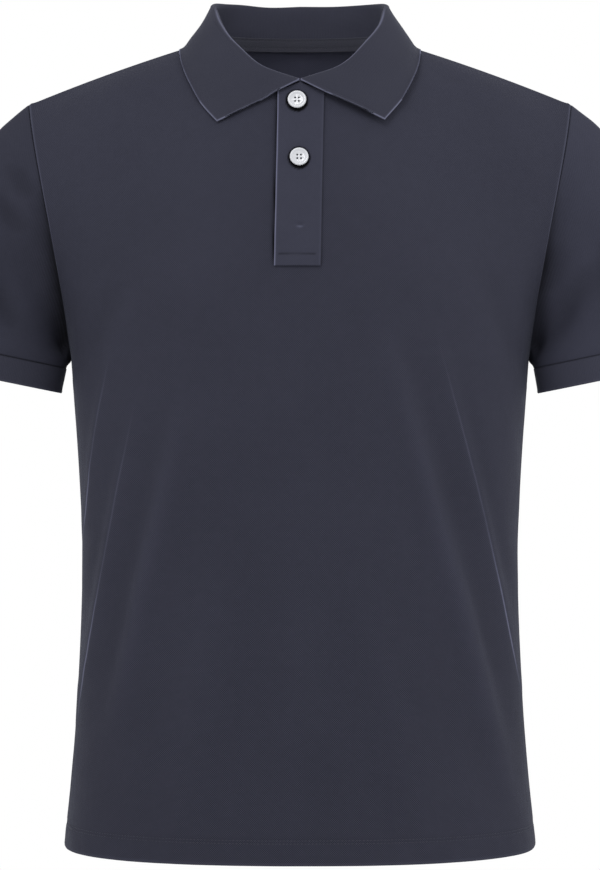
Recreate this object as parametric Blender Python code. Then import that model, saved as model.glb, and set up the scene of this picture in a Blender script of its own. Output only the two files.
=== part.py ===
"""A men's short-sleeved polo shirt, worn and empty, as it hangs on the wearer's shoulders.

Metres, +Z up. The wearer faces -Y, and +X is the wearer's left. The origin is the middle of the neck
at the height of the shoulders' high points, where the wearer holds the shirt up.

Each panel is a grid of points on the cloth's outer face, made from the sizes and tables below, and
wall() gives it the cloth's thickness. A row of a grid runs across the cloth, and a column up it.
"""

import math
from bisect import bisect_right
from collections import namedtuple

import bmesh
import bpy
from mathutils import Matrix, Vector
from mathutils.bvhtree import BVHTree

# Cloth
CLOTH = 0.0015  # pique knit, the body and sleeves
HEM_CLOTH = 0.0024  # the turned-up hem, two layers
RIB = 0.0020  # flat-knit rib, the collar and cuffs
TAPE = 0.0010
PLACKET_CLOTH = 0.0020  # two layers and their fusing
SEAM_GAP = 0.0003

# Body
HEM_HEIGHT = -0.675
HEM_DEPTH = 0.020
CHEST_HEIGHT = -0.266  # the underarm points
BODY_SQUARENESS = 2.35  # 2 is an ellipse
SHOULDER_TIP = Vector((0.2290, 0.004, -0.0525))
SHOULDER_ROUND = 0.0020  # rise of the shoulder line over a straight one

# Neckline: half an oval in front and half behind, seen from above
NECK_HALF_WIDTH = 0.080
NECK_FRONT, NECK_BACK = 0.086, 0.070
NECK_FRONT_HEIGHT, NECK_BACK_HEIGHT = -0.049, 0.004
NECK_SHARE = 0.44  # share of a half panel's width that ends at the neckline
NECK_CURVE = 1.2

# Sleeves
SLEEVE_SPREAD = math.radians(11.6)  # from vertical
CUFF_INNER_CORNER = Vector((0.2015, 0.0, -0.2960))
CUFF_HALF_WIDTH, CUFF_HALF_DEPTH = 0.0590, 0.0500
CUFF_HEIGHT = 0.0215
CUFF_FLARE = 0.0004  # the cuff stands out from the sleeve at their seam

# Placket and buttons
PLACKET_WIDTH = 0.0380
PLACKET_BOTTOM = -0.1957
PLACKET_TOP_X, PLACKET_BOTTOM_X = 0.0010, -0.0020  # its middle line leans to the wearer's right
PLACKET_LIFT = 0.0010  # clear of the front
SLOT_MARGIN = 0.0030  # the front laps under the placket by this on each side
BUTTON_RADIUS, BUTTON_THICKNESS = 0.0077, 0.0026
BUTTON_HOLE_RADIUS, BUTTON_HOLE_SPACING = 0.0006, 0.0028
BUTTON_PLACES = {"button_top": (-0.0024, -0.0608), "button_lower": (-0.0008, -0.1084)}

# Collar and neck tape
COLLAR_END_TURN = 0.9  # degrees round the neckline from its front middle
COLLAR_ROLL = 0.0018  # half the width of the fold
COLLAR_SET_IN = 0.0009  # from the neckline in to the stand
LEAF_CLEARANCE = 0.0024  # from the cloth below to the middle of the leaf
LEAF_OVER_PLACKET = 0.0060
LEFT_LEAF_LIFT = 0.0020  # the wearer's left leaf stands further off the front
LEAF_OVER_SHOULDER = 0.0030  # and both a little further off the shoulder seam, to turn over it
TAPE_ABOVE, TAPE_BELOW = 0.0075, 0.0045
TAPE_END_TURN = 86.0

# Grid sizes, in faces
NECK_COLUMNS, SHOULDER_COLUMNS = 6, 6  # of half a panel
LOWER_ROWS, UPPER_ROWS = 8, 11
SLEEVE_AROUND, SLEEVE_ROWS = 28, 7
COLLAR_STATIONS, LEAF_STEPS = 36, 5
BUTTON_SIDES = 22

Ring = namedtuple("Ring", "height half_width front back")
BODY_RINGS = [
    Ring(HEM_HEIGHT, 0.1981, 0.127, 0.118),
    Ring(-0.613, 0.1917, 0.122, 0.114),
    Ring(-0.546, 0.1867, 0.118, 0.110),
    Ring(-0.436, 0.1829, 0.115, 0.104),
    Ring(-0.360, 0.1858, 0.117, 0.108),
    Ring(CHEST_HEIGHT, 0.1924, 0.120, 0.114),
]

# A column of the yoke rises from the chest to its place on the neckline or shoulder as a Bezier
# curve. rise is its lower handle and crown its upper one; out is away from the body's middle.
Column = namedtuple("Column", "share rise_x rise_out rise_z crown_x crown_out crown_z")
FRONT_COLUMNS = [
    Column(0.00, 0.000, 0.004, 0.085, 0.000, 0.022, -0.070),
    Column(0.22, 0.000, 0.004, 0.090, 0.014, 0.038, -0.056),
    Column(0.37, 0.000, 0.004, 0.095, 0.032, 0.048, -0.038),
    Column(0.44, 0.000, 0.004, 0.095, 0.042, 0.057, -0.037),
    Column(0.52, 0.000, 0.003, 0.095, 0.034, 0.067, -0.038),
    Column(0.75, 0.000, 0.002, 0.092, 0.012, 0.078, -0.036),
    Column(1.00, 0.004, 0.050, 0.064, -0.009, 0.064, -0.050),
]
BACK_COLUMNS = [
    Column(0.00, 0.000, 0.010, 0.100, 0.000, 0.034, -0.058),
    Column(0.22, 0.000, 0.010, 0.100, 0.014, 0.042, -0.046),
    Column(0.37, 0.000, 0.010, 0.100, 0.032, 0.052, -0.033),
    Column(0.44, 0.000, 0.009, 0.100, 0.042, 0.061, -0.028),
    Column(0.52, 0.000, 0.008, 0.100, 0.034, 0.071, -0.028),
    Column(0.75, 0.000, 0.005, 0.095, 0.012, 0.082, -0.030),
    Column(1.00, 0.004, 0.056, 0.066, -0.009, 0.070, -0.046),
]

# The largest folds, soft ridges down the front and back, from a top place to a foot as seen from
# the front.
Fold = namedtuple("Fold", "panel top_x top_z foot_x foot_z height half_width")
FOLDS = [
    Fold("front", -0.095, -0.300, -0.152, -0.565, 0.0030, 0.018),
    Fold("front", 0.062, -0.235, 0.168, -0.590, 0.0030, 0.018),
    Fold("front", -0.136, -0.270, -0.176, -0.560, 0.0022, 0.014),
    Fold("front", 0.118, -0.235, 0.176, -0.550, 0.0022, 0.014),
    Fold("back", -0.080, -0.200, -0.120, -0.560, 0.0030, 0.020),
    Fold("back", 0.090, -0.220, 0.134, -0.600, 0.0030, 0.020),
    Fold("back", 0.010, -0.340, 0.030, -0.620, 0.0020, 0.020),
]

# A sleeve's column leaves the armhole along this handle. Turn is round the armhole in degrees, from
# the shoulder tip by way of the front. A deep fold lies under the front's edge near the underarm.
SleeveStart = namedtuple("SleeveStart", "turn x y z")
SLEEVE_STARTS = [
    SleeveStart(0, 0.062, 0.000, -0.046),
    SleeveStart(55, 0.060, -0.004, -0.052),
    SleeveStart(110, 0.030, 0.022, -0.038),
    SleeveStart(180, 0.0015, 0.000, -0.0045),
    SleeveStart(250, 0.034, -0.022, -0.036),
    SleeveStart(305, 0.062, 0.004, -0.050),
    SleeveStart(360, 0.062, 0.000, -0.046),
]
SLEEVE_END_TOP, SLEEVE_END_UNDER = 0.105, 0.004  # length of the handle at the cuff

# The collar at places round the neckline, for the half at -X: turn is in degrees from the front
# middle. The fold is at crest_z and leans in by lean, and the leaf ends at edge_x and edge_z, on the
# cloth below. Half way down it stands out by bulge and hangs lower by sag.
CollarPlace = namedtuple("CollarPlace", "turn lean crest_z edge_x edge_z bulge sag")
COLLAR_PLACES = [
    CollarPlace(COLLAR_END_TURN, 0.0000, -0.0423, -0.0666, -0.0773, 0.001, 0.0030),
    CollarPlace(20, 0.0005, -0.0327, -0.0750, -0.0680, 0.002, 0.0020),
    CollarPlace(30, 0.0010, -0.0245, -0.0815, -0.0595, 0.003, 0.0010),
    CollarPlace(45, 0.0015, -0.0075, -0.0896, -0.0443, 0.003, 0.0000),
    CollarPlace(60, 0.0030, 0.0083, -0.0965, -0.0300, 0.002, 0.0000),
    CollarPlace(75, 0.0060, 0.0250, -0.1000, -0.0175, 0.001, 0.0000),
    CollarPlace(90, 0.0062, 0.0330, -0.1010, -0.0080, -0.001, 0.0000),
    CollarPlace(110, 0.0050, 0.0370, -0.0960, -0.0080, 0.000, 0.0000),
    CollarPlace(140, 0.0020, 0.0395, -0.0640, -0.0090, 0.003, 0.0000),
    CollarPlace(180, 0.0010, 0.0400, 0.0000, -0.0090, 0.003, 0.0000),
]

Finish = namedtuple("Finish", "colour roughness")
PIQUE_FINISH = Finish((0.042, 0.044, 0.062), 0.90)
RIB_FINISH = Finish((0.045, 0.047, 0.066), 0.92)
TAPE_FINISH = Finish((0.036, 0.038, 0.054), 0.85)
BUTTON_FINISH = Finish((0.86, 0.86, 0.88), 0.30)


def row_at(rows, key):
    """The row at key, read from a smooth curve through the rows, whose first field is the key."""
    keys = [row[0] for row in rows]
    i = min(max(bisect_right(keys, key) - 1, 0), len(rows) - 2)

    def slope(k, field):
        low, high = max(k - 1, 0), min(k + 1, len(rows) - 1)
        return (rows[high][field] - rows[low][field]) / (keys[high] - keys[low])

    step = keys[i + 1] - keys[i]
    t = (key - keys[i]) / step
    values = [
        (2 * t**3 - 3 * t**2 + 1) * rows[i][f]
        + (t**3 - 2 * t**2 + t) * step * slope(i, f)
        + (3 * t**2 - 2 * t**3) * rows[i + 1][f]
        + (t**3 - t**2) * step * slope(i + 1, f)
        for f in range(1, len(rows[0]))
    ]
    return type(rows[0])(key, *values)


def bezier(a, b, c, d, t):
    s = 1 - t
    return a * s**3 + b * (3 * s * s * t) + c * (3 * s * t * t) + d * t**3


def spaced(count, low=0.0, high=1.0):
    return [low + (high - low) * i / count for i in range(count + 1)]


def oval_point(half_width, depth, share, squareness=BODY_SQUARENESS, steps=48):
    """(across, out) on a quarter of an oval, at this share of its length from the middle line."""
    points = []
    for i in range(steps + 1):
        angle = math.pi / 2 * i / steps
        across = half_width * math.sin(angle) ** (2 / squareness)
        points.append((across, depth * math.cos(angle) ** (2 / squareness) if i < steps else 0.0))
    reached = [0.0]
    for p, q in zip(points, points[1:]):
        reached.append(reached[-1] + math.dist(p, q))
    wanted = share * reached[-1]
    i = min(bisect_right(reached, wanted), steps) - 1
    t = (wanted - reached[i]) / (reached[i + 1] - reached[i])
    return tuple(p + (q - p) * t for p, q in zip(points[i], points[i + 1]))


def ring_point(height, place, front):
    """A point of the body below the underarms. place runs from -1 to 1 across the panel."""
    ring = row_at(BODY_RINGS, height)
    across, out = oval_point(ring.half_width, ring.front if front else ring.back, abs(place))
    return Vector((math.copysign(across, place), -out if front else out, height))


def neckline_point(turn):
    """A point of the neckline at -X, turn degrees from the front middle."""
    angle = math.radians(turn)
    depth, height = (
        (NECK_FRONT, NECK_FRONT_HEIGHT) if turn < 90 else (NECK_BACK, NECK_BACK_HEIGHT)
    )
    rise = height * abs(math.cos(angle)) ** NECK_CURVE
    return Vector((-NECK_HALF_WIDTH * math.sin(angle), -depth * math.cos(angle), rise))


def top_point(place, front):
    """Where a column of the yoke ends, on the neckline or along the shoulder."""
    share, side = abs(place), math.copysign(1, place)
    if share <= NECK_SHARE:
        turn = 90 * share / NECK_SHARE
        point = neckline_point(turn if front else 180 - turn)
        return Vector((-point.x * side, point.y, point.z))
    t = (share - NECK_SHARE) / (1 - NECK_SHARE)
    point = Vector((NECK_HALF_WIDTH, 0, 0)).lerp(SHOULDER_TIP, t)
    rise = SHOULDER_ROUND * 4 * t * (1 - t)
    gap = SEAM_GAP / 2 * (-1 if front else 1)
    return Vector((point.x * side, point.y + gap, point.z + rise))


def yoke_point(place, t, front):
    """A point of the panel above the underarms; t runs from 0 at the chest to 1 at the top."""
    side, out = math.copysign(1, place), -1 if front else 1
    column = row_at(FRONT_COLUMNS if front else BACK_COLUMNS, abs(place))
    low, high = ring_point(CHEST_HEIGHT, place, front), top_point(place, front)
    rise = Vector((column.rise_x * side, column.rise_out * out, column.rise_z))
    crown = Vector((column.crown_x * side, column.crown_out * out, column.crown_z))
    return bezier(low, low + rise, high + crown, high, t)


def folded(point, panel):
    """The point, moved out where it lies on a fold."""
    lift = 0.0
    for fold in FOLDS:
        t = (fold.top_z - point.z) / (fold.top_z - fold.foot_z)
        if fold.panel == panel and 0 < t < 1:
            middle = fold.top_x + (fold.foot_x - fold.top_x) * t
            across = (point.x - middle) / fold.half_width
            lift += fold.height * math.sin(math.pi * t) * math.exp(-(across**2))
    return point + Vector((0, -lift if panel == "front" else lift, 0))


def panel_places():
    """Where a panel's columns are, from -1 to 1, with one at each end of the neckline."""
    edge = 1 - SEAM_GAP / 2 / 0.25  # half the side seam's gap, on a quarter ring 0.25 m long
    half = spaced(NECK_COLUMNS, 0, NECK_SHARE) + spaced(SHOULDER_COLUMNS, NECK_SHARE, edge)[1:]
    return [-place for place in half[:0:-1]] + half


def panel_grid(front):
    """Rows of points from the hem to the shoulders, and the cloth's thickness at each row."""
    places = panel_places()
    heights = [HEM_HEIGHT, HEM_HEIGHT + HEM_DEPTH]
    heights += spaced(LOWER_ROWS - 1, HEM_HEIGHT + HEM_DEPTH, CHEST_HEIGHT)[1:]
    rows = [[ring_point(z, place, front) for place in places] for z in heights]
    rows += [[yoke_point(p, t, front) for p in places] for t in spaced(UPPER_ROWS)[1:]]
    rows = [[folded(p, "front" if front else "back") for p in row] for row in rows]
    return rows, [HEM_CLOTH] * 2 + [CLOTH] * (len(rows) - 2)


def grid_normals(rows, around):
    """The outward normal at each point of a grid whose columns run up and rows to the right."""
    normals = []
    last_row, count = len(rows) - 1, len(rows[0])
    for r, row in enumerate(rows):
        line = []
        for c in range(count):
            if around:
                left, right = row[c - 1], row[(c + 1) % count]
            else:
                left, right = row[max(c - 1, 0)], row[min(c + 1, count - 1)]
            up = rows[min(r + 1, last_row)][c] - rows[max(r - 1, 0)][c]
            line.append((right - left).cross(up).normalized())
        normals.append(line)
    return normals


def split(r, c, d, count, around):
    """The two triangles of a grid's face, split the opposite way on the two halves of a panel."""
    low, right, top, left = (r, c), (r, d), (r + 1, d), (r + 1, c)
    if around or c < count // 2:
        return [(low, right, top), (low, top, left)]
    return [(low, right, left), (right, top, left)]


def wall(name, rows, normals, outer, inner, around, finish):
    """A closed solid: the grid moved out by outer and in by inner, joined round its edges."""
    mesh = bmesh.new()
    layers = []
    for move in (outer, [-depth for depth in inner]):
        layers.append(
            [
                [mesh.verts.new(p + n * move[r]) for p, n in zip(row, normals[r])]
                for r, row in enumerate(rows)
            ]
        )
    front, back = layers
    count = len(rows[0])
    for r in range(len(rows) - 1):
        for c in range(count if around else count - 1):
            d = (c + 1) % count
            for corners in split(r, c, d, count, around):
                mesh.faces.new([front[i][j] for i, j in corners])
                mesh.faces.new([back[i][j] for i, j in corners[::-1]])
            if r == 0:
                mesh.faces.new((front[0][d], front[0][c], back[0][c], back[0][d]))
            if r == len(rows) - 2:
                mesh.faces.new((front[-1][c], front[-1][d], back[-1][d], back[-1][c]))
        if not around:
            for c, turned in ((0, False), (count - 1, True)):
                side = [front[r][c], front[r + 1][c], back[r + 1][c], back[r][c]]
                mesh.faces.new(side[::-1] if turned else side)
    bmesh.ops.recalc_face_normals(mesh, faces=mesh.faces)
    return add_object(name, mesh, finish)


def add_object(name, mesh, finish):
    data = bpy.data.meshes.new(name)
    mesh.to_mesh(data)
    mesh.free()
    data.shade_smooth()
    data.set_sharp_from_angle(angle=math.radians(40))
    data.materials.append(make_material(name, finish))
    made = bpy.data.objects.new(name, data)
    bpy.context.scene.collection.objects.link(made)
    return made


def add_cutter(name, mesh):
    """A shape to cut with, which isn't part of the shirt."""
    data = bpy.data.meshes.new(name)
    mesh.to_mesh(data)
    mesh.free()
    cutter = bpy.data.objects.new(name, data)
    bpy.context.scene.collection.objects.link(cutter)
    cutter.hide_render = True
    cutter.display_type = "WIRE"
    return cutter


def make_material(name, finish):
    material = bpy.data.materials.new(name)
    material.use_nodes = True
    shader = material.node_tree.nodes["Principled BSDF"]
    shader.inputs["Base Color"].default_value = (*finish.colour, 1.0)
    shader.inputs["Roughness"].default_value = finish.roughness
    shader.inputs["Metallic"].default_value = 0.0
    return material


def sheet_tree(rows):
    """A lookup of the outer face of a panel, to lay other pieces on it."""
    count = len(rows[0])
    points = [p for row in rows for p in row]
    faces = [
        [i * count + j for i, j in corners]
        for r in range(len(rows) - 1)
        for c in range(count - 1)
        for corners in split(r, c, c + 1, count, False)
    ]
    return BVHTree.FromPolygons(points, faces)


def make_body():
    """The front and back, and a lookup of both their outer faces."""
    trees = []
    for name, front in (("front", True), ("back", False)):
        rows, depths = panel_grid(front)
        if not front:
            rows = [row[::-1] for row in rows]
        normals = grid_normals(rows, around=False)
        square_seams(rows, normals)
        made = wall(name, rows, normals, [0.0] * len(rows), depths, False, PIQUE_FINISH)
        if front:
            cut_slot(made)
        trees.append(sheet_tree(rows))
    return trees


def square_seams(rows, normals):
    """Turns the cloth's edges square to the front and back at the side and shoulder seams."""
    seam_normals = [normals[-1][c] for c, p in enumerate(rows[-1]) if abs(p.x) > NECK_HALF_WIDTH - 1e-4]
    for row, line in zip(rows, normals):
        if row[0].z <= CHEST_HEIGHT + 1e-4:
            seam_normals += [line[0], line[-1]]
    for normal in seam_normals:
        normal.y = 0.0
        normal.normalize()


def cut_slot(front):
    """Opens the front behind the placket, from the neckline to the placket's foot."""
    low = Vector((-PLACKET_WIDTH / 2 + SLOT_MARGIN, -0.16, PLACKET_BOTTOM + SLOT_MARGIN))
    high = Vector((PLACKET_WIDTH / 2 - SLOT_MARGIN, -0.05, 0.02))
    mesh = bmesh.new()
    bmesh.ops.create_cube(mesh, size=1.0)
    size = high - low
    bmesh.ops.scale(mesh, vec=size, verts=mesh.verts)
    bmesh.ops.translate(mesh, vec=(low + high) / 2, verts=mesh.verts)
    for v in mesh.verts:
        v.co.x += placket_middle(v.co.z)
    cutter = add_cutter("slot_cutter", mesh)
    cut = front.modifiers.new("slot", "BOOLEAN")
    cut.object = cutter
    cut.operation = "DIFFERENCE"


def placket_middle(height):
    t = (height - PLACKET_BOTTOM) / (NECK_FRONT_HEIGHT - PLACKET_BOTTOM)
    return PLACKET_BOTTOM_X + (PLACKET_TOP_X - PLACKET_BOTTOM_X) * t


def on_front(tree, x, z):
    """The point of the front's outer face at this place seen from the front."""
    return tree.ray_cast(Vector((x, -1, z)), Vector((0, 1, 0)))[0]


def placket_rows(tree, half_width, bottom, drop, across=4, up=10):
    """A strip on the front from bottom up to drop below the neckline."""
    rows = []
    for t in spaced(up):
        row = []
        for x in spaced(across, -half_width, half_width):
            top = neckline_point(math.degrees(math.asin(abs(x) / NECK_HALF_WIDTH))).z - drop
            z = bottom + (top - bottom) * t
            row.append(on_front(tree, x + placket_middle(z), z))
        rows.append(row)
    return rows


def make_placket(tree):
    """The upper placket laps over the under one, which fills the slot."""
    inset = SLOT_MARGIN + SEAM_GAP
    half = PLACKET_WIDTH / 2
    under = placket_rows(tree, half - inset, PLACKET_BOTTOM + inset, 0.0012)
    count = len(under)
    normals = grid_normals(under, around=False)
    wall("placket_under", under, normals, [0.0] * count, [CLOTH] * count, False, PIQUE_FINISH)
    upper = placket_rows(tree, half, PLACKET_BOTTOM, 0.0038)
    normals = grid_normals(upper, around=False)
    outer, inner = [PLACKET_LIFT + PLACKET_CLOTH] * count, [-PLACKET_LIFT] * count
    wall("placket_upper", upper, normals, outer, inner, False, PIQUE_FINISH)


def armhole_loop(side):
    """Points round the armhole from the shoulder tip by way of the front. Each comes with the body's
    normal there and the direction away from the body in its cloth."""
    half = SLEEVE_AROUND // 2
    loop = []
    for i in range(SLEEVE_AROUND):
        front = i < half
        t = 1 - i / half if front else i / half - 1
        point = yoke_point(side, t, front)
        across = (point - yoke_point(side * 0.98, t, front)).normalized()
        up = yoke_point(side, min(t + 0.01, 1.0), front) - yoke_point(side, max(t - 0.01, 0.0), front)
        normal = across.cross(up).normalized()
        if normal.dot(Vector((0.6 * side, -1 if front else 1, 0.3))) < 0:
            normal = -normal
        loop.append((point, normal, across))
    return loop


def cuff_point(side, turn, down):
    """A point of the cuff, turn degrees round from its outer side by way of the front."""
    out = Vector((math.cos(SLEEVE_SPREAD), 0, math.sin(SLEEVE_SPREAD)))
    along = Vector((math.sin(SLEEVE_SPREAD), 0, -math.cos(SLEEVE_SPREAD)))
    middle = CUFF_INNER_CORNER + out * CUFF_HALF_WIDTH - along * (CUFF_HEIGHT - down)
    angle = math.radians(turn)
    point = (
        middle
        + out * (CUFF_HALF_WIDTH * math.cos(angle))
        + Vector((0, -CUFF_HALF_DEPTH * math.sin(angle), 0))
    )
    return Vector((point.x * side, point.y, point.z)), Vector((along.x * side, along.y, along.z))


def make_sleeve(name, side):
    """A tube from the armhole to the cuff, each column a Bezier curve."""
    loop = armhole_loop(side)
    rows = [[] for _ in range(SLEEVE_ROWS + 1)]
    for i, (start, _, _) in enumerate(loop):
        turn = 360 * i / SLEEVE_AROUND
        handle = row_at(SLEEVE_STARTS, turn)
        leave = Vector((handle.x * side, handle.y, handle.z))
        end, along = cuff_point(side, turn, -SEAM_GAP)
        under = (1 - math.cos(math.radians(turn))) / 2
        reach = SLEEVE_END_TOP + (SLEEVE_END_UNDER - SLEEVE_END_TOP) * under
        start = start + leave.normalized() * SEAM_GAP
        for t, row in zip(spaced(SLEEVE_ROWS), rows):
            row.append(bezier(start, start + leave, end - along * reach, end, t))
    if side > 0:
        rows = [row[:1] + row[:0:-1] for row in rows]
    rows.reverse()
    normals = grid_normals(rows, around=True)
    if side > 0:
        loop = loop[:1] + loop[:0:-1]
    for c, (_, normal, away) in enumerate(loop):
        own = normals[-1][c]
        if own.dot(away) > 0 or own.dot(normal) < 0.2:
            own = (own - away * own.dot(away)).normalized()
        normals[-1][c] = own
    count = len(rows)
    wall(name, rows, normals, [0.0] * count, [CLOTH] * count, True, PIQUE_FINISH)


def make_cuff(name, side):
    rows = []
    for down in (CUFF_HEIGHT, CUFF_HEIGHT / 2, 0.0):
        row = [
            cuff_point(side, 360 * i / SLEEVE_AROUND, down)[0] for i in range(SLEEVE_AROUND)
        ]
        rows.append(row[:1] + row[:0:-1] if side > 0 else row)
    normals = grid_normals(rows, around=True)
    wall(name, rows, normals, [CUFF_FLARE] * 3, [RIB - CUFF_FLARE] * 3, True, RIB_FINISH)


def lifted(trees, point):
    """The point, moved out where it is too near the front or back."""
    clearance = LEAF_CLEARANCE
    if point.y < 0 and abs(point.x) < PLACKET_WIDTH / 2 + 0.004:
        clearance = LEAF_OVER_PLACKET
    elif point.y < -0.03 and point.x > 0:
        clearance += LEFT_LEAF_LIFT
    clearance += LEAF_OVER_SHOULDER * max(1 - abs(point.y) / 0.02, 0)
    near, normal, _, _ = min((tree.find_nearest(point) for tree in trees), key=lambda hit: hit[3])
    if normal.dot(near - Vector((0, 0, near.z - 0.1))) < 0:
        normal = -normal
    return point + normal * max(clearance - (point - near).dot(normal), 0)


def stand_line(turn):
    """The collar's foot and its fold, at the middle of its cloth, and the way in to the neck."""
    place = row_at(COLLAR_PLACES, turn)
    seam = neckline_point(turn)
    inward = Vector((-seam.x, -seam.y, 0)).normalized()
    foot = seam + inward * (RIB / 2 + COLLAR_SET_IN) + Vector((0, 0, SEAM_GAP * 2))
    crest = seam + inward * (place.lean + RIB / 2 + COLLAR_SET_IN)
    crest.z = place.crest_z
    return foot, crest, inward


def collar_section(turn, trees):
    """The middle line of the collar's cloth at -X, from its seam up, over the fold and down."""
    place = row_at(COLLAR_PLACES, turn)
    foot, crest, inward = stand_line(turn)
    down = Vector((0, 0, -COLLAR_ROLL))
    stand_top = crest + inward * (COLLAR_ROLL / 2) + down
    leaf_top = crest - inward * (COLLAR_ROLL * 1.5) + down
    front = turn < 90
    start = Vector((place.edge_x, -1 if front else 1, place.edge_z))
    edge, _, _, _ = trees[0 if front else 1].ray_cast(start, Vector((0, 1 if front else -1, 0)))
    if edge is None:
        edge, _, _, _ = trees[0].find_nearest(Vector((place.edge_x, 0, place.edge_z)))
    line = [foot, foot.lerp(stand_top, 0.5), stand_top, crest, leaf_top]
    outward = (Vector((0, 0, 1)) - inward).normalized()
    for t in spaced(LEAF_STEPS)[1:]:
        curve = 4 * t * (1 - t)
        line.append(leaf_top.lerp(edge, t) + (outward * place.bulge + down.normalized() * place.sag) * curve)
    return line


def make_collar(trees):
    """One piece from the wearer's right front, round the neck, to the left front."""
    half = COLLAR_STATIONS // 2
    right = [collar_section(turn, trees) for turn in spaced(half, COLLAR_END_TURN, 180)]
    left = [[Vector((-p.x, p.y, p.z)) for p in line] for line in right[-2::-1]]
    lines = [line[:5] + [lifted(trees, p) for p in line[5:]] for line in right + left]
    rows = [list(points) for points in zip(*lines)]
    normals = grid_normals(rows, around=False)
    count = len(rows)
    wall("collar", rows, normals, [RIB / 2] * count, [RIB / 2] * count, False, RIB_FINISH)


def make_neck_tape():
    """Covers the collar's seam inside the back of the neck, from shoulder to shoulder."""
    rows = []
    for rise in (-TAPE_BELOW, 0.0, TAPE_ABOVE):
        row = []
        for turn in spaced(16, TAPE_END_TURN, 360 - TAPE_END_TURN):
            foot, crest, inward = stand_line(min(turn, 360 - turn))
            point = foot + (crest - foot) * (rise / (crest.z - foot.z))
            point += inward * ((RIB + TAPE) / 2 + SEAM_GAP * 3)
            row.append(point if turn < 180 else Vector((-point.x, point.y, point.z)))
        rows.append(row)
    normals = grid_normals(rows, around=False)
    wall("neck_tape", rows, normals, [TAPE / 2] * 3, [TAPE / 2] * 3, False, TAPE_FINISH)


def make_button(name, x, z, tree):
    """A turned disc with a raised rim and four holes, flat on the placket."""
    radius, thick = BUTTON_RADIUS, BUTTON_THICKNESS
    profile = [
        (0.0, 0.0),
        (radius * 0.80, 0.0),
        (radius * 0.97, thick * 0.35),
        (radius, thick * 0.60),
        (radius * 0.93, thick),
        (radius * 0.76, thick),
        (radius * 0.62, thick * 0.68),
        (0.0, thick * 0.68),
    ]
    mesh = bmesh.new()
    chain = [mesh.verts.new((r, 0, h)) for r, h in profile]
    edges = [mesh.edges.new(pair) for pair in zip(chain, chain[1:])]
    bmesh.ops.spin(
        mesh,
        geom=chain + edges,
        cent=(0, 0, 0),
        axis=(0, 0, 1),
        angle=2 * math.pi,
        steps=BUTTON_SIDES,
        use_merge=True,
    )
    bmesh.ops.remove_doubles(mesh, verts=mesh.verts, dist=1e-6)
    bmesh.ops.recalc_face_normals(mesh, faces=mesh.faces)
    made = add_object(name, mesh, BUTTON_FINISH)
    near = BUTTON_RADIUS
    places = ((x - near, z), (x + near, z), (x, z - near), (x, z + near))
    around = [on_front(tree, *place) for place in places]
    normal = (around[1] - around[0]).cross(around[3] - around[2]).normalized()
    surface = (around[0] + around[1] + around[2] + around[3]) / 4
    base = surface + normal * (PLACKET_LIFT + PLACKET_CLOTH + SEAM_GAP * 2)
    turned = normal.to_track_quat("Z", "Y").to_matrix().to_4x4()
    made.matrix_world = Matrix.Translation(base) @ turned
    for i in range(4):
        angle = math.pi / 2 * i + math.pi / 4
        drill = bmesh.new()
        bmesh.ops.create_cone(
            drill,
            cap_ends=True,
            segments=8,
            radius1=BUTTON_HOLE_RADIUS,
            radius2=BUTTON_HOLE_RADIUS,
            depth=thick * 3,
        )
        cutter = add_cutter(f"{name}_drill_{i}", drill)
        cutter.parent = made
        reach = BUTTON_HOLE_SPACING / math.sqrt(2)
        cutter.location = (reach * math.cos(angle), reach * math.sin(angle), 0)
        cut = made.modifiers.new(f"hole_{i}", "BOOLEAN")
        cut.object = cutter
        cut.operation = "DIFFERENCE"


def main():
    for old in list(bpy.data.objects):
        bpy.data.objects.remove(old)
    trees = make_body()
    make_placket(trees[0])
    for name, side in (("left", 1), ("right", -1)):
        make_sleeve(f"sleeve_{name}", side)
        make_cuff(f"cuff_{name}", side)
    make_collar(trees)
    make_neck_tape()
    for name, (x, z) in BUTTON_PLACES.items():
        make_button(name, x, z, trees[0])


main()
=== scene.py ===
"""The look of a men's short-sleeved polo shirt, worn and empty.

Metres, +Z up. The wearer faces -Y, and +X is the wearer's left. Each panel is the grid of its solid
at a finer spacing, with the garment's creases, seams and edges worked into it. A row of a grid runs
across the cloth, and a column up it, and its UVs are distances along the cloth in metres.
"""

import math
from collections import namedtuple

import bmesh
import bpy
import numpy as np
from mathutils import Matrix, Vector
from mathutils.bvhtree import BVHTree


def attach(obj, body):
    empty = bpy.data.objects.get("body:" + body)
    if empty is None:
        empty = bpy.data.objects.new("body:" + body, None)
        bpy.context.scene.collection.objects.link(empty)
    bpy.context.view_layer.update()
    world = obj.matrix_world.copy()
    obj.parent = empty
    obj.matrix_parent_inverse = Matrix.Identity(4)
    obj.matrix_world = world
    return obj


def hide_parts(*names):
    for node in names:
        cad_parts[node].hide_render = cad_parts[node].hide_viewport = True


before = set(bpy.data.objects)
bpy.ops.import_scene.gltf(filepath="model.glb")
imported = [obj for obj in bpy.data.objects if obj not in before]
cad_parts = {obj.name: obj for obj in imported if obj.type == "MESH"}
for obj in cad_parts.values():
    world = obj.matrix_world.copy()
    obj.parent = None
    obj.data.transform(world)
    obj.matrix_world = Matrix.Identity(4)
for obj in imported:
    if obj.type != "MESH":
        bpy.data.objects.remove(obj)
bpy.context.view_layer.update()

# Cloth
PIQUE = 0.0014
HEM_CLOTH = 0.0023  # the turned-up hem, two layers
RIB = 0.0018
TAPE = 0.0009
PLACKET_CLOTH = 0.0016
SEAM_GAP = 0.0001
SLEEVE_SEAM_GAP = 0.00006  # at the armhole and the cuff

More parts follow.
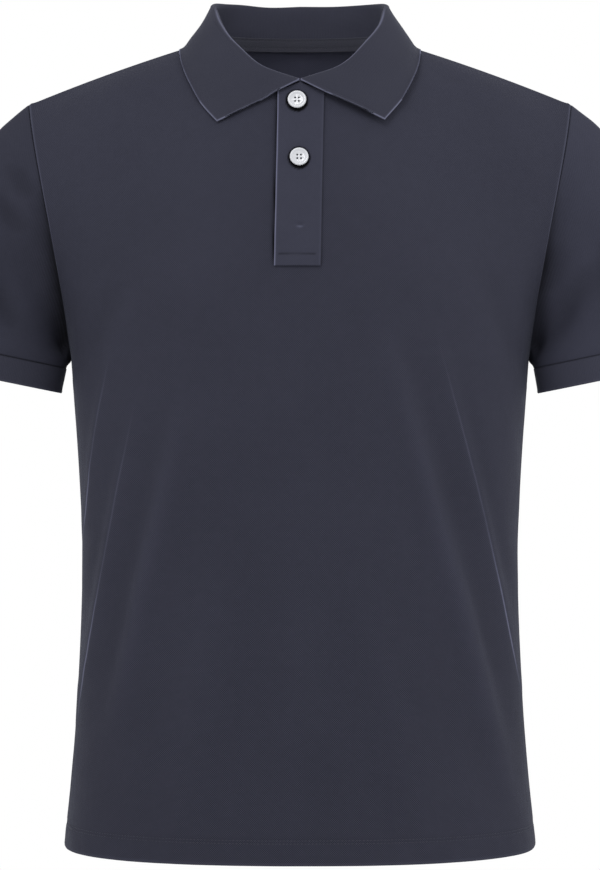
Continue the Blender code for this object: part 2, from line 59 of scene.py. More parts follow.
# Body, as its solids
HEM_HEIGHT = -0.675
HEM_DEPTH = 0.020
CHEST_HEIGHT = -0.266
BODY_SQUARENESS = 2.35
SHOULDER_TIP = np.array((0.2290, 0.004, -0.0525))
SHOULDER_ROUND = 0.0020
NECK_HALF_WIDTH = 0.080
NECK_FRONT, NECK_BACK = 0.086, 0.070
NECK_FRONT_HEIGHT, NECK_BACK_HEIGHT = -0.049, 0.004
NECK_SHARE = 0.44
NECK_CURVE = 1.2
QUARTER = 0.25  # about a quarter of the body's girth

# Sleeves and cuffs, as their solids
SLEEVE_SPREAD = math.radians(11.6)
CUFF_INNER_CORNER = np.array((0.2015, 0.0, -0.2960))
CUFF_HALF_WIDTH, CUFF_HALF_DEPTH = 0.0590, 0.0500
CUFF_HEIGHT = 0.0215
CUFF_FLARE = 0.0004
SLEEVE_END_TOP, SLEEVE_END_UNDER = 0.105, 0.004
TUCK_DEPTH, TUCK_REACH = 0.0056, 0.0080
ARMHOLE_SHADE, TUCK_SHADE = 0.66, 0.18  # how much darker the sleeve's head is in that fold
CUFF_ALLOWANCE = [(0.0012, 0.0002), (0.0022, 0.0014), (0.0023, 0.0040)]  # in and down, in turn

# Placket and buttons
PLACKET_WIDTH = 0.0380
PLACKET_BOTTOM = -0.1957
PLACKET_TOP_X, PLACKET_BOTTOM_X = 0.0010, -0.0020
PLACKET_FREE_LIFT, PLACKET_SEWN_LIFT = 0.0013, 0.0004  # under its free edge and its sewn edge
PLACKET_TONE = 0.22  # it is a little paler all over
PLACKET_TOP_RISE, PLACKET_TOP_SLOPE = 0.0046, 0.42  # over the neckline, up to the collar's ends
UNDER_PLACKET_INSET = 0.0033
BOX_STITCH = 0.0093  # above the placket's foot
THIRD_BUTTON_HEIGHT = -0.1640
BUTTON_RADIUS, BUTTON_THICKNESS = 0.0077, 0.0026
BUTTON_LIFT = 0.0033
BUTTON_HOLE_RADIUS, BUTTON_HOLE_SPACING = 0.00080, 0.0030
BUTTON_PLACES = {"button_top": (-0.0024, -0.0608), "button_lower": (-0.0008, -0.1084)}

# Collar and neck tape
COLLAR_END_TURN = 0.35
COLLAR_ROLL = 0.0018
COLLAR_SET_IN = 0.0009
LEAF_CLEARANCE = 0.0022
LEAF_OVER_PLACKET = 0.0054
LEFT_LEAF_LIFT = 0.0036
LEAF_OVER_SHOULDER = -0.0012
EDGE_THINNING, EDGE_SINK = 0.50, 0.0006  # of the leaf's edge over the shoulder seam
FOLD_ROWS = 9  # of the grid, round the fold
FOLD_HIGHLIGHT_ENDS = (82, 66)  # turns between which the painted highlight on the fold begins
TAPE_ABOVE, TAPE_BELOW = 0.0075, 0.0045
TAPE_END_TURN = 86.0
TAPE_COLUMNS = 121
TAPE_STITCHES = (0.0038, 0.0102)  # above its lower edge

# Painted light: the colour is lighter towards the shoulders, by a share of the colour a metre, from this
# height
TOP_PAINTED_LIGHT, TOP_PAINTED_LIGHT_FROM = 0.20, -0.32

# Creases narrower than this have a crest, with a painted highlight along a line of this width
SHARP_CREASE, CREST_WIDTH, CREST_REACH = 0.007, 0.00070, 0.008
# and the painted light and shade on a crease: how much paler a ridge and darker a trough is painted, as a
# share of the colour for each metre of its height
RIDGE_PAINTED_LIGHT, SLEEVE_RIDGE_PAINTED_LIGHT = 27.0, 60.0

# Stitches, each rounded by rings: place in its half length, and swelling and rise in its radius
StitchRing = namedtuple("StitchRing", "place swell rise")
STITCH_RINGS = [
    StitchRing(-1.0, 0.25, -0.9),
    StitchRing(-0.72, 0.85, -0.1),
    StitchRing(0.0, 1.0, 0.35),
    StitchRing(0.72, 0.85, -0.1),
    StitchRing(1.0, 0.25, -0.9),
]
STITCH_PITCH, STITCH_LENGTH, STITCH_RADIUS = 0.0029, 0.0021, 0.00019
HEM_STITCH_HEIGHTS = (0.0180, 0.0204)

# Bands run beside an edge or seam: the most that one adds, how far in its middle is, and its width.
# A welt lifts the cloth and a groove sinks it, by metres. A tone is a share of the colour.
Band = namedtuple("Band", "amount middle width")
# A painted highlight runs along the welt beside the armhole seam
ARMHOLE_WELT, ARMHOLE_HIGHLIGHT = Band(0.00055, 0.0030, 0.0017), Band(0.95, 0.0013, 0.0006)
SIDE_WELT, SIDE_TONE = Band(0.00030, 0.0028, 0.0016), Band(-0.55, 0.0, 0.0007)
SHOULDER_WELT, SHOULDER_TONE = Band(0.00035, 0.0030, 0.0018), Band(-0.25, 0.0, 0.0007)
# The hem's folded edge has a painted highlight
HEM_GROOVE, HEM_EDGE_HIGHLIGHT = Band(-0.00038, 0.0, 0.0009), Band(0.25, 0.0012, 0.0012)
HEM_ROPING = 0.00014
SLEEVE_BLOUSE, SLEEVE_END_TONE = Band(0.0007, 0.007, 0.005), Band(-0.55, 0.0, 0.0007)
# The cuff's edge has a painted highlight
CUFF_WELT, CUFF_EDGE_HIGHLIGHT = Band(0.00035, 0.0015, 0.0012), Band(0.30, 0.0008, 0.0009)
CUFF_SEAM_TONE = Band(-0.6, CUFF_HEIGHT, 0.0007)
# Painted shadow in the slit beside the placket's free edge
BESIDE_PLACKET_GROOVE, BESIDE_PLACKET_SHADOW = Band(0.0016, 0.0012, 0.0026), Band(0.95, -0.0004, 0.0008)
PLACKET_WELT, PLACKET_SWELL = Band(0.00012, 0.0013, 0.0009), Band(0.00025, BOX_STITCH / 2, 0.0030)
BOX_STITCH_BAND, BOX_STITCH_DEPTH, BOX_STITCH_TONE = Band(1.0, BOX_STITCH, 0.0006), 0.00050, 0.60
# Painted highlights along the placket's free edge and beside its sewn seam, whose line is dark
PLACKET_FREE_EDGE_HIGHLIGHT = Band(3.6, 0.0007, 0.0004)
PLACKET_SEWN_TONE, PLACKET_SEAM_HIGHLIGHT = Band(-0.60, 0.0, 0.0006), Band(0.30, 0.0013, 0.0005)
COLLAR_WELT, COLLAR_GROOVE = Band(0.00010, 0.0013, 0.0010), Band(-0.00010, 0.0034, 0.0010)
# Painted highlights along the collar's edge and the crest of its fold
COLLAR_EDGE_HIGHLIGHT, COLLAR_FOLD_HIGHLIGHT = Band(3.2, 0.0005, 0.0006), Band(2.6, 0.0, 0.0009)
# Painted light on the inside of the collar's stand
COLLAR_INSIDE_PAINTED_LIGHT = 0.30
TAPE_GROOVE = Band(-0.00025, 0.0, 0.0006)

# Distances from an edge where a grid has extra lines, to round it
EDGE = [0.0, 0.00006, 0.00022, 0.00045, 0.00075, 0.0012, 0.0019, 0.0028, 0.0040]

Ring = namedtuple("Ring", "height half_width front back")
BODY_RINGS = [
    Ring(HEM_HEIGHT, 0.1981, 0.127, 0.118),
    Ring(-0.613, 0.1917, 0.122, 0.114),
    Ring(-0.546, 0.1867, 0.118, 0.110),
    Ring(-0.436, 0.1829, 0.115, 0.104),
    Ring(-0.360, 0.1858, 0.117, 0.108),
    Ring(CHEST_HEIGHT, 0.1924, 0.120, 0.114),
]

Column = namedtuple("Column", "share rise_x rise_out rise_z crown_x crown_out crown_z")
FRONT_COLUMNS = [
    Column(0.00, 0.000, 0.004, 0.085, 0.000, 0.022, -0.070),
    Column(0.22, 0.000, 0.004, 0.090, 0.014, 0.038, -0.056),
    Column(0.37, 0.000, 0.004, 0.095, 0.032, 0.048, -0.038),
    Column(0.44, 0.000, 0.004, 0.095, 0.042, 0.057, -0.037),
    Column(0.52, 0.000, 0.003, 0.095, 0.034, 0.067, -0.038),
    Column(0.75, 0.000, 0.002, 0.092, 0.012, 0.078, -0.036),
    Column(1.00, 0.004, 0.050, 0.064, -0.009, 0.064, -0.050),
]
BACK_COLUMNS = [
    Column(0.00, 0.000, 0.010, 0.100, 0.000, 0.034, -0.058),
    Column(0.22, 0.000, 0.010, 0.100, 0.014, 0.042, -0.046),
    Column(0.37, 0.000, 0.010, 0.100, 0.032, 0.052, -0.033),
    Column(0.44, 0.000, 0.009, 0.100, 0.042, 0.061, -0.028),
    Column(0.52, 0.000, 0.008, 0.100, 0.034, 0.071, -0.028),
    Column(0.75, 0.000, 0.005, 0.095, 0.012, 0.082, -0.030),
    Column(1.00, 0.004, 0.056, 0.066, -0.009, 0.070, -0.046),
]

# Creases: each runs down the cloth from top by way of mid to foot, seen from the front. It is a soft
# ridge, or a trough where height is below 0, with a shallow hollow on its lee side, 1 or -1.
Crease = namedtuple("Crease", "top_x top_z mid_x mid_z foot_x foot_z height half_width lee")
FRONT_CREASES = [
    Crease(-0.094, -0.300, -0.124, -0.440, -0.153, -0.580, 0.0058, 0.0090, -1),
    Crease(-0.1535, -0.262, -0.1688, -0.341, -0.181, -0.420, 0.0020, 0.0055, -1),
    Crease(-0.132, -0.296, -0.1597, -0.4355, -0.1865, -0.575, 0.0026, 0.0060, -1),
    Crease(0.067, -0.245, 0.123, -0.445, 0.177, -0.645, 0.0062, 0.0095, 1),
    Crease(0.108, -0.243, 0.1485, -0.3965, 0.185, -0.550, 0.0030, 0.0060, 1),
    Crease(-0.148, -0.205, -0.168, -0.240, -0.182, -0.285, -0.0030, 0.0110, 1),
    Crease(0.150, -0.190, 0.170, -0.235, 0.184, -0.290, -0.0026, 0.0100, -1),
    Crease(0.040, -0.215, 0.043, -0.245, 0.047, -0.275, -0.0012, 0.0120, -1),
    Crease(-0.060, -0.400, -0.084, -0.520, -0.104, -0.660, 0.0016, 0.0170, 1),
    Crease(0.050, -0.430, 0.074, -0.540, 0.108, -0.665, 0.0014, 0.0160, -1),
    Crease(0.004, -0.460, -0.006, -0.560, -0.016, -0.668, 0.0012, 0.0200, 1),
]
BACK_CREASES = [
    Crease(-0.080, -0.200, -0.098, -0.380, -0.120, -0.560, 0.0034, 0.0170, -1),
    Crease(0.090, -0.220, 0.108, -0.410, 0.134, -0.600, 0.0034, 0.0170, 1),
    Crease(0.010, -0.340, 0.016, -0.480, 0.030, -0.620, 0.0022, 0.0190, 1),
    Crease(-0.140, -0.250, -0.158, -0.380, -0.176, -0.520, 0.0018, 0.0034, -1),
    Crease(0.128, -0.240, 0.150, -0.370, 0.178, -0.500, 0.0017, 0.0034, 1),
    Crease(-0.150, -0.160, -0.166, -0.215, -0.180, -0.280, -0.0028, 0.0110, 1),
    Crease(0.150, -0.170, 0.168, -0.220, 0.182, -0.275, -0.0028, 0.0105, -1),
    Crease(-0.050, -0.420, -0.056, -0.540, -0.052, -0.660, 0.0014, 0.0170, -1),
]
RIGHT_SLEEVE_CREASES = [
    Crease(-0.238, -0.105, -0.231, -0.120, -0.222, -0.136, -0.0030, 0.0075, 1),
    Crease(-0.256, -0.128, -0.242, -0.148, -0.230, -0.166, -0.0032, 0.0085, 1),
    Crease(-0.262, -0.190, -0.248, -0.215, -0.236, -0.244, -0.0036, 0.0100, 1),
    Crease(-0.286, -0.170, -0.280, -0.205, -0.268, -0.250, 0.0020, 0.0110, 1),
]
LEFT_SLEEVE_CREASES = [
    Crease(0.206, -0.170, 0.208, -0.190, 0.206, -0.216, -0.0034, 0.0100, -1),
    Crease(0.238, -0.190, 0.222, -0.220, 0.208, -0.256, -0.0034, 0.0095, -1),
    Crease(0.256, -0.158, 0.250, -0.190, 0.240, -0.222, -0.0024, 0.0100, -1),
    Crease(0.274, -0.185, 0.272, -0.215, 0.262, -0.252, 0.0018, 0.0110, -1),
]

SleeveStart = namedtuple("SleeveStart", "turn x y z")
SLEEVE_STARTS = [
    SleeveStart(0, 0.062, 0.000, -0.046),
    SleeveStart(55, 0.060, -0.004, -0.052),
    SleeveStart(110, 0.030, 0.022, -0.038),
    SleeveStart(180, 0.0015, 0.000, -0.0045),
    SleeveStart(250, 0.034, -0.022, -0.036),
    SleeveStart(305, 0.062, 0.004, -0.050),
    SleeveStart(360, 0.062, 0.000, -0.046),
]

CollarPlace = namedtuple("CollarPlace", "turn lean crest_z edge_x edge_z bulge sag")
COLLAR_PLACES = [
    CollarPlace(COLLAR_END_TURN, 0.0000, -0.0423, -0.0666, -0.0773, 0.001, 0.0030),
    CollarPlace(20, 0.0005, -0.0327, -0.0750, -0.0680, 0.002, 0.0020),
    CollarPlace(30, 0.0010, -0.0245, -0.0815, -0.0595, 0.003, 0.0010),
    CollarPlace(45, 0.0015, -0.0075, -0.0896, -0.0443, 0.003, 0.0000),
    CollarPlace(60, 0.0030, 0.0083, -0.0965, -0.0300, 0.002, 0.0000),
    CollarPlace(75, 0.0060, 0.0235, -0.1000, -0.0175, 0.001, 0.0000),
    CollarPlace(90, 0.0062, 0.0300, -0.1010, -0.0080, -0.001, 0.0000),
    CollarPlace(110, 0.0050, 0.0345, -0.0960, -0.0080, 0.000, 0.0000),
    CollarPlace(140, 0.0020, 0.0380, -0.0640, -0.0090, 0.003, 0.0000),
    CollarPlace(180, 0.0010, 0.0392, 0.0000, -0.0090, 0.003, 0.0000),
]

# Materials
LEFT_ARM_PAINTED_LIGHT, RIGHT_ARM_PAINTED_LIGHT = 0.20, -0.06  # painted light and shade: how much paler each sleeve and cuff is painted, darker below 0
PANEL_REVERSE_PAINTED_LIGHT, BACK_REVERSE_PAINTED_LIGHT_AT_NECK = 0.75, 1.9  # painted light on the cloth's inner face, more on the back just below the neck, where shadow falls
NAVY = (0.0264, 0.0274, 0.0412)
RIB_NAVY = (0.0290, 0.0300, 0.0440)
TAPE_NAVY = (0.0330, 0.0340, 0.0480)
THREAD_NAVY = (0.0190, 0.0196, 0.0300)
WHITE = (0.50, 0.51, 0.54)
KNIT_PITCH, YARN_PITCH = 0.00175, 0.0008
PIQUE_RELIEF, STRETCHED_RELIEF = 0.72, 0.12
# How bright the painted highlight on the crests of sharp creases is
CREST_HIGHLIGHT = 2.8
WALE_PITCH, COURSE_PITCH = 0.0014, 0.0010
TWILL_PITCH, PICK_PITCH = 0.0009, 0.0006

# Studio
CAMERA_PLACE, LENS = (0, -2.35, -0.331), 115.4
FLOOR_HEIGHT, FLOOR_RADIUS = -1.12, 1.9
LAMPS_AIM = (0, 0, -0.28)
Lamp = namedtuple("Lamp", "name place size power")
LAMPS = [
    Lamp("key", (-0.45, -1.9, 1.80), 1.2, 26),
    Lamp("left", (-1.9, -0.10, 0.25), 1.0, 2),
    Lamp("right", (1.9, -0.15, 0.10), 1.0, 10),
]


# ---------------------------------------------------------------- shapes


def through(rows, keys):
    """Values at keys on smooth curves through the rows, whose first column is the key."""
    rows = np.array(rows, float)
    keys = np.asarray(keys, float)
    x, y = rows[:, 0], rows[:, 1:]
    order = np.arange(len(x))
    low, high = np.maximum(order - 1, 0), np.minimum(order + 1, len(x) - 1)
    slope = (y[high] - y[low]) / (x[high] - x[low])[:, None]
    i = np.clip(np.searchsorted(x, keys, side="right") - 1, 0, len(x) - 2)
    step = (x[i + 1] - x[i])[..., None]
    t = (keys - x[i])[..., None] / step
    return (
        (2 * t**3 - 3 * t**2 + 1) * y[i]
        + (t**3 - 2 * t**2 + t) * step * slope[i]
        + (3 * t**2 - 2 * t**3) * y[i + 1]
        + (t**3 - t**2) * step * slope[i + 1]
    )


def bezier(a, b, c, d, t):
    s = 1 - t
    return a * s**3 + b * (3 * s * s * t) + c * (3 * s * t * t) + d * t**3


def unit(vectors):
    return vectors / np.maximum(np.linalg.norm(vectors, axis=-1, keepdims=True), 1e-12)


def smoothstep(low, high, value):
    t = np.clip((value - low) / (high - low), 0, 1)
    return t * t * (3 - 2 * t)


def band(distance, *bands):
    """What bands add at this distance from their edge."""
    return sum(b.amount * np.exp(-(((distance - b.middle) / b.width) ** 2)) for b in bands)


def add_piece(name, mesh, material):
    mesh.materials.append(material)
    made = bpy.data.objects.new(name, mesh)
    bpy.context.scene.collection.objects.link(made)
    return made


def add_rings(name, chains, material, sides, capped):
    """Round threads, each a chain of rings (middle, side, up, radius), joined into one mesh."""
    vertices, faces = [], []
    angles = [2 * math.pi * k / sides for k in range(sides)]
    for chain in chains:
        first = len(vertices)
        for middle, side, up, radius in chain:
            vertices += [tuple(middle + radius * (math.cos(a) * side + math.sin(a) * up)) for a in angles]
        last = len(vertices) - sides
        for start in range(first, last, sides):
            for k in range(sides):
                a, b = start + k, start + (k + 1) % sides
                faces.append((a, b, b + sides, a + sides))
        if capped:
            faces.append([first + k for k in range(sides)][::-1])
            faces.append([last + k for k in range(sides)])
    mesh = bpy.data.meshes.new(name)
    mesh.from_pydata(vertices, [], faces)
    mesh.shade_smooth()
    return add_piece(name, mesh, material)


def neighbours(points, axis):
    """The point before and after each one, with the ends repeated."""
    widths = [(1, 1) if k == axis else (0, 0) for k in range(points.ndim)]
    padded = np.moveaxis(np.pad(points, widths, mode="edge"), axis, 0)
    return np.moveaxis(padded[:-2], 0, axis), np.moveaxis(padded[2:], 0, axis)


def eased(points, free, axis, times):
    """The points, moved towards the middle of their neighbours where they are free to."""
    for _ in range(times):
        before, after = neighbours(points, axis)
        points = points + free * 0.5 * ((after + before) / 2 - points)
    return points


def oval(half_width, depth, shares, steps=400):
    """(across, out) on a quarter of an oval, at these shares of its length from the middle line."""
    angle = np.linspace(0, math.pi / 2, steps + 1)
    across = half_width * np.sin(angle) ** (2 / BODY_SQUARENESS)
    out = depth * np.maximum(np.cos(angle), 0) ** (2 / BODY_SQUARENESS)
    out[-1] = 0
    reached = np.append(0, np.cumsum(np.hypot(np.diff(across), np.diff(out))))
    wanted = shares * reached[-1]
    return np.interp(wanted, reached, across), np.interp(wanted, reached, out)


def ring_points(height, places, front):
    half_width, front_depth, back_depth = through(BODY_RINGS, height)
    across, out = oval(half_width, front_depth if front else back_depth, np.abs(places))
    return np.stack([across * np.sign(places), -out if front else out, np.full(len(places), height)], -1)


def neckline(turns):
    """Points of the neckline at -X, turns in degrees from the front middle."""
    angle = np.radians(turns)
    fore = np.asarray(turns) < 90
    rise = np.where(fore, NECK_FRONT_HEIGHT, NECK_BACK_HEIGHT) * np.abs(np.cos(angle)) ** NECK_CURVE
    depth = np.where(fore, NECK_FRONT, NECK_BACK)
    return np.stack([-NECK_HALF_WIDTH * np.sin(angle), -depth * np.cos(angle), rise], -1)


def top_points(places, front):
    """Where the columns of the yoke end, on the neckline or along the shoulder."""
    shares, side = np.abs(places), np.sign(places)
    turns = 90 * np.minimum(shares / NECK_SHARE, 1)
    on_neck = neckline(turns if front else 180 - turns) * (-1, 1, 1)
    t = np.clip((shares - NECK_SHARE) / (1 - NECK_SHARE), 0, 1)[:, None]
    on_shoulder = np.array((NECK_HALF_WIDTH, 0, 0)) * (1 - t) + SHOULDER_TIP * t
    on_shoulder[:, 2] += SHOULDER_ROUND * 4 * (t * (1 - t))[:, 0]
    on_shoulder[:, 1] += SEAM_GAP / 2 * (-1 if front else 1)
    points = np.where((shares <= NECK_SHARE + 1e-9)[:, None], on_neck, on_shoulder)
    points[:, 0] *= np.where(side == 0, 1, side)
    return points


def yoke_points(places, t, front):
    """Points of the panel above the underarms; t runs from 0 at the chest to 1 at the top."""
    places = np.atleast_1d(places).astype(float)
    side, out = np.sign(places), -1 if front else 1
    handles = through(FRONT_COLUMNS if front else BACK_COLUMNS, np.abs(places))
    rise = np.stack([handles[:, 0] * side, handles[:, 1] * out, handles[:, 2]], -1)
    crown = np.stack([handles[:, 3] * side, handles[:, 4] * out, handles[:, 5]], -1)
    low, high = ring_points(CHEST_HEIGHT, places, front), top_points(places, front)
    return bezier(low, low + rise, high + crown, high, np.reshape(t, (-1, 1)))


def creases(points, table):
    """How far each point lies out of the smooth cloth on the creases that cross it, its distance
    across from the nearest sharp crest, and how strong its painted highlight is there, from 0 to 1."""
    lift = np.zeros(points.shape[:-1])
    beside = np.ones(points.shape[:-1])
    crest_highlight = np.zeros(points.shape[:-1])
    x, z = points[..., 0], points[..., 2]
    for crease in table:
        t = (crease.top_z - z) / (crease.top_z - crease.foot_z)
        # The curve through the three places, as x over t
        bow = 4 * (crease.mid_x - (crease.top_x + crease.foot_x) / 2)
        middle = crease.top_x + (crease.foot_x - crease.top_x) * t + bow * t * (1 - t)
        lean = (crease.foot_x - crease.top_x + bow * (1 - 2 * t)) / (crease.top_z - crease.foot_z)
        across = (x - middle) / (crease.half_width * np.sqrt(1 + lean**2))
        along = np.sin(math.pi * np.clip(t, 0, 1)) ** 0.8
        ridge = np.exp(-(across**2)) - 0.38 * np.exp(-((across - 1.7 * crease.lee) ** 2) / 1.3)
        lift += crease.height * along * ridge
        if crease.half_width < SHARP_CREASE:
            away = across * crease.half_width
            nearer = np.abs(away) < np.abs(beside)
            # Its painted highlight is strongest towards its foot
            highlight_share = smoothstep(0.0, 0.3, t) * smoothstep(1.0, 0.84, t)
            highlight_share *= 0.2 + 0.8 * smoothstep(0.50, 0.80, t)
            highlight_share *= smoothstep(CREST_REACH, CREST_REACH / 2, np.abs(away))
            beside = np.where(nearer, away, beside)
            crest_highlight = np.where(nearer, highlight_share, crest_highlight)
    return lift, beside, crest_highlight


def ripple(points, wavelength, height, seed):
    """Faint uneven waves over the cloth."""
    random = np.random.default_rng(seed)
    lift = np.zeros(points.shape[:-1])
    for _ in range(9):
        direction = unit(random.normal(size=3))
        number = 2 * math.pi / (wavelength * random.uniform(0.7, 1.6))
        lift += np.sin(points @ (direction * number) + random.uniform(0, 2 * math.pi))
    return height * lift / 3


def grid_normals(points, around):
    """The outward normal at each point of a grid whose columns run up and rows to the right."""
    left, right = (np.roll(points, 1, 1), np.roll(points, -1, 1)) if around else neighbours(points, 1)
    below, above = neighbours(points, 0)
    return unit(np.cross(right - left, above - below))


def cloth_uv(points, around):
    """Distances along the cloth: across from its middle column, and up from its lowest row."""
    if around:
        points = np.concatenate([points, points[:, :1]], 1)
    steps = np.linalg.norm(np.diff(points, axis=1), axis=2)
    u = np.concatenate([np.zeros((len(points), 1)), np.cumsum(steps, 1)], 1)
    if around:
        u *= u[:, -1].mean() / u[:, -1:]
    else:
        u -= u[:, points.shape[1] // 2, None]
    steps = np.linalg.norm(np.diff(points, axis=0), axis=2)
    v = np.concatenate([np.zeros((1, points.shape[1])), np.cumsum(steps, 0)])
    return np.stack([u, v], -1)


def edge_distance(uv, around):
    """How far each point of a grid is from the cloth's nearest open edge."""
    u, v = uv[..., 0], uv[..., 1]
    up = np.minimum(v - v[:1], v[-1:] - v)
    if around:
        return up[:, :-1]
    return np.minimum(up, np.minimum(u - u[:, :1], u[:, -1:] - u))


def shell(
    name, points, thickness, around, material, normals=None, uv=None, tone=0.0, reverse=0.0, crest=None
):
    """Thin cloth with rounded edges: points are on its outer face. tone is how much lighter or
    darker it is painted at each point, for seam lines and painted light and shade, as a share of its colour,
    and reverse is that of its inner face.
    crest is each point's distance from the nearest sharp crease, and how strong its painted highlight is."""
    if normals is None:
        normals = grid_normals(points, around)
    if uv is None:
        uv = cloth_uv(points, around)
    rows, count = points.shape[:2]
    thickness = np.broadcast_to(thickness, (rows, count))
    radius = thickness / 2
    near = np.minimum(edge_distance(uv, around), radius)
    drop = (radius - np.sqrt(np.maximum(radius**2 - (radius - near) ** 2, 0)))[..., None]
    outer = points - normals * drop
    inner = points - normals * (thickness[..., None] - drop)
    index = np.arange(rows * count).reshape(rows, count)
    open_edge = np.zeros((rows, count), bool)
    open_edge[[0, -1]] = True
    if not around:
        open_edge[:, [0, -1]] = True
    inside = index.copy()
    inside[~open_edge] = rows * count + np.arange((~open_edge).sum())
    vertices = np.concatenate([outer.reshape(-1, 3), inner[~open_edge]])
    if around:
        index = np.concatenate([index, index[:, :1]], 1)
        inside = np.concatenate([inside, inside[:, :1]], 1)

    def quads(grid, turned):
        corners = [grid[:-1, :-1], grid[:-1, 1:], grid[1:, 1:], grid[1:, :-1]]
        if turned:
            corners.reverse()
        return np.stack(corners, 2).reshape(-1, 4, *grid.shape[2:])

    faces = np.concatenate([quads(index, False), quads(inside, True)])
    places = np.concatenate([quads(uv, False), quads(uv, True)])
    mesh = bpy.data.meshes.new(name)
    mesh.from_pydata(vertices.tolist(), [], faces.tolist())
    layer = mesh.uv_layers.new(name="cloth")
    layer.data.foreach_set("uv", places.reshape(-1).astype(np.float32))
    reverse = np.broadcast_to(reverse, (rows, count))[~open_edge]
    faces_of = {"tone": (tone, reverse)}
    if crest is not None:
        faces_of["beside"] = (crest[0], np.ones(reverse.shape))
        faces_of["crest_highlight"] = (crest[1], np.zeros(reverse.shape))
    for label, (outer_values, inner_values) in faces_of.items():
        values = np.broadcast_to(outer_values, (rows, count)).reshape(-1)
        values = np.concatenate([values, inner_values]).astype(np.float32)
        mesh.attributes.new(label, "FLOAT", "POINT").data.foreach_set("value", values)
    mesh.shade_smooth()
    return add_piece(name, mesh, material)


def surface_tree(points):
    """A lookup of a grid's outer face, to lay other pieces on it."""
    rows, count = points.shape[:2]
    index = np.arange(rows * count).reshape(rows, count)
    quads = np.stack([index[:-1, :-1], index[:-1, 1:], index[1:, 1:], index[1:, :-1]], 2).reshape(-1, 4)
    return BVHTree.FromPolygons(points.reshape(-1, 3).tolist(), quads.tolist())


def spread(low, high, spacing, low_edge=(), high_edge=()):
    """Evenly spaced numbers from low to high, with extra ones near an edge at these distances."""
    start = low + (max(low_edge) if len(low_edge) else 0)
    end = high - (max(high_edge) if len(high_edge) else 0)
    middle = np.linspace(start, end, max(2, round((end - start) / spacing) + 1))
    extra = [low + d for d in low_edge] + [high - d for d in high_edge]
    return np.unique(np.round(np.concatenate([middle, extra]), 7))


# ---------------------------------------------------------------- body


def panel_surface(front):
    """The outer face of the front or back, its columns' places and its rows' heights."""
    to_neck = np.append(spread(0, 0.11, 0.0017 / QUARTER), spread(0.11, NECK_SHARE, 0.0034 / QUARTER)[1:])
    to_side = spread(NECK_SHARE, 1, 0.0035 / QUARTER, (), [d / QUARTER for d in EDGE])
    half = np.concatenate([to_neck, to_side[1:]])
    places = np.concatenate([-half[:0:-1], half])
    stitch_rows = [HEM_STITCH_HEIGHTS[0] + d for d in np.arange(-0.0015, 0.0042, 0.0006)]
    heights = HEM_HEIGHT + np.unique(np.round(EDGE + [0.0065, 0.0095, 0.0125, 0.0150] + stitch_rows, 6))
    heights = np.concatenate([heights, spread(HEM_HEIGHT + 0.0245, CHEST_HEIGHT, 0.0036)])
    rise = 0.24
    upper = spread(0, 1, 0.0035 / rise, (), [d / rise for d in EDGE])[1:]
    rows = [ring_points(z, places, front) for z in heights]
    rows += [yoke_points(places, t, front) for t in upper]
    points = np.stack(rows)
    # The cloth turns gently past the corners of the neckline
    below_top = cloth_uv(points, False)[..., 1]
    below_top = below_top[-1:] - below_top
    free = smoothstep(0.0, 0.040, below_top) * (points[..., 2] > CHEST_HEIGHT)
    free = (free * smoothstep(0.30, 0.18, np.abs(np.abs(places) - NECK_SHARE)))[..., None]
    points = eased(points, free, 1, 60)
    return points if front else points[:, ::-1]


def panel_normals(points):
    """Normals that are square to the front and back at the side and shoulder seams."""
    normals = grid_normals(points, False)
    on_shoulder = np.abs(points[-1, :, 0]) > NECK_HALF_WIDTH - 1e-4
    normals[-1, on_shoulder, 1] = 0
    below = points[:, 0, 2] <= CHEST_HEIGHT + 1e-4
    normals[below, 0, 1] = 0
    normals[below, -1, 1] = 0
    return unit(normals)


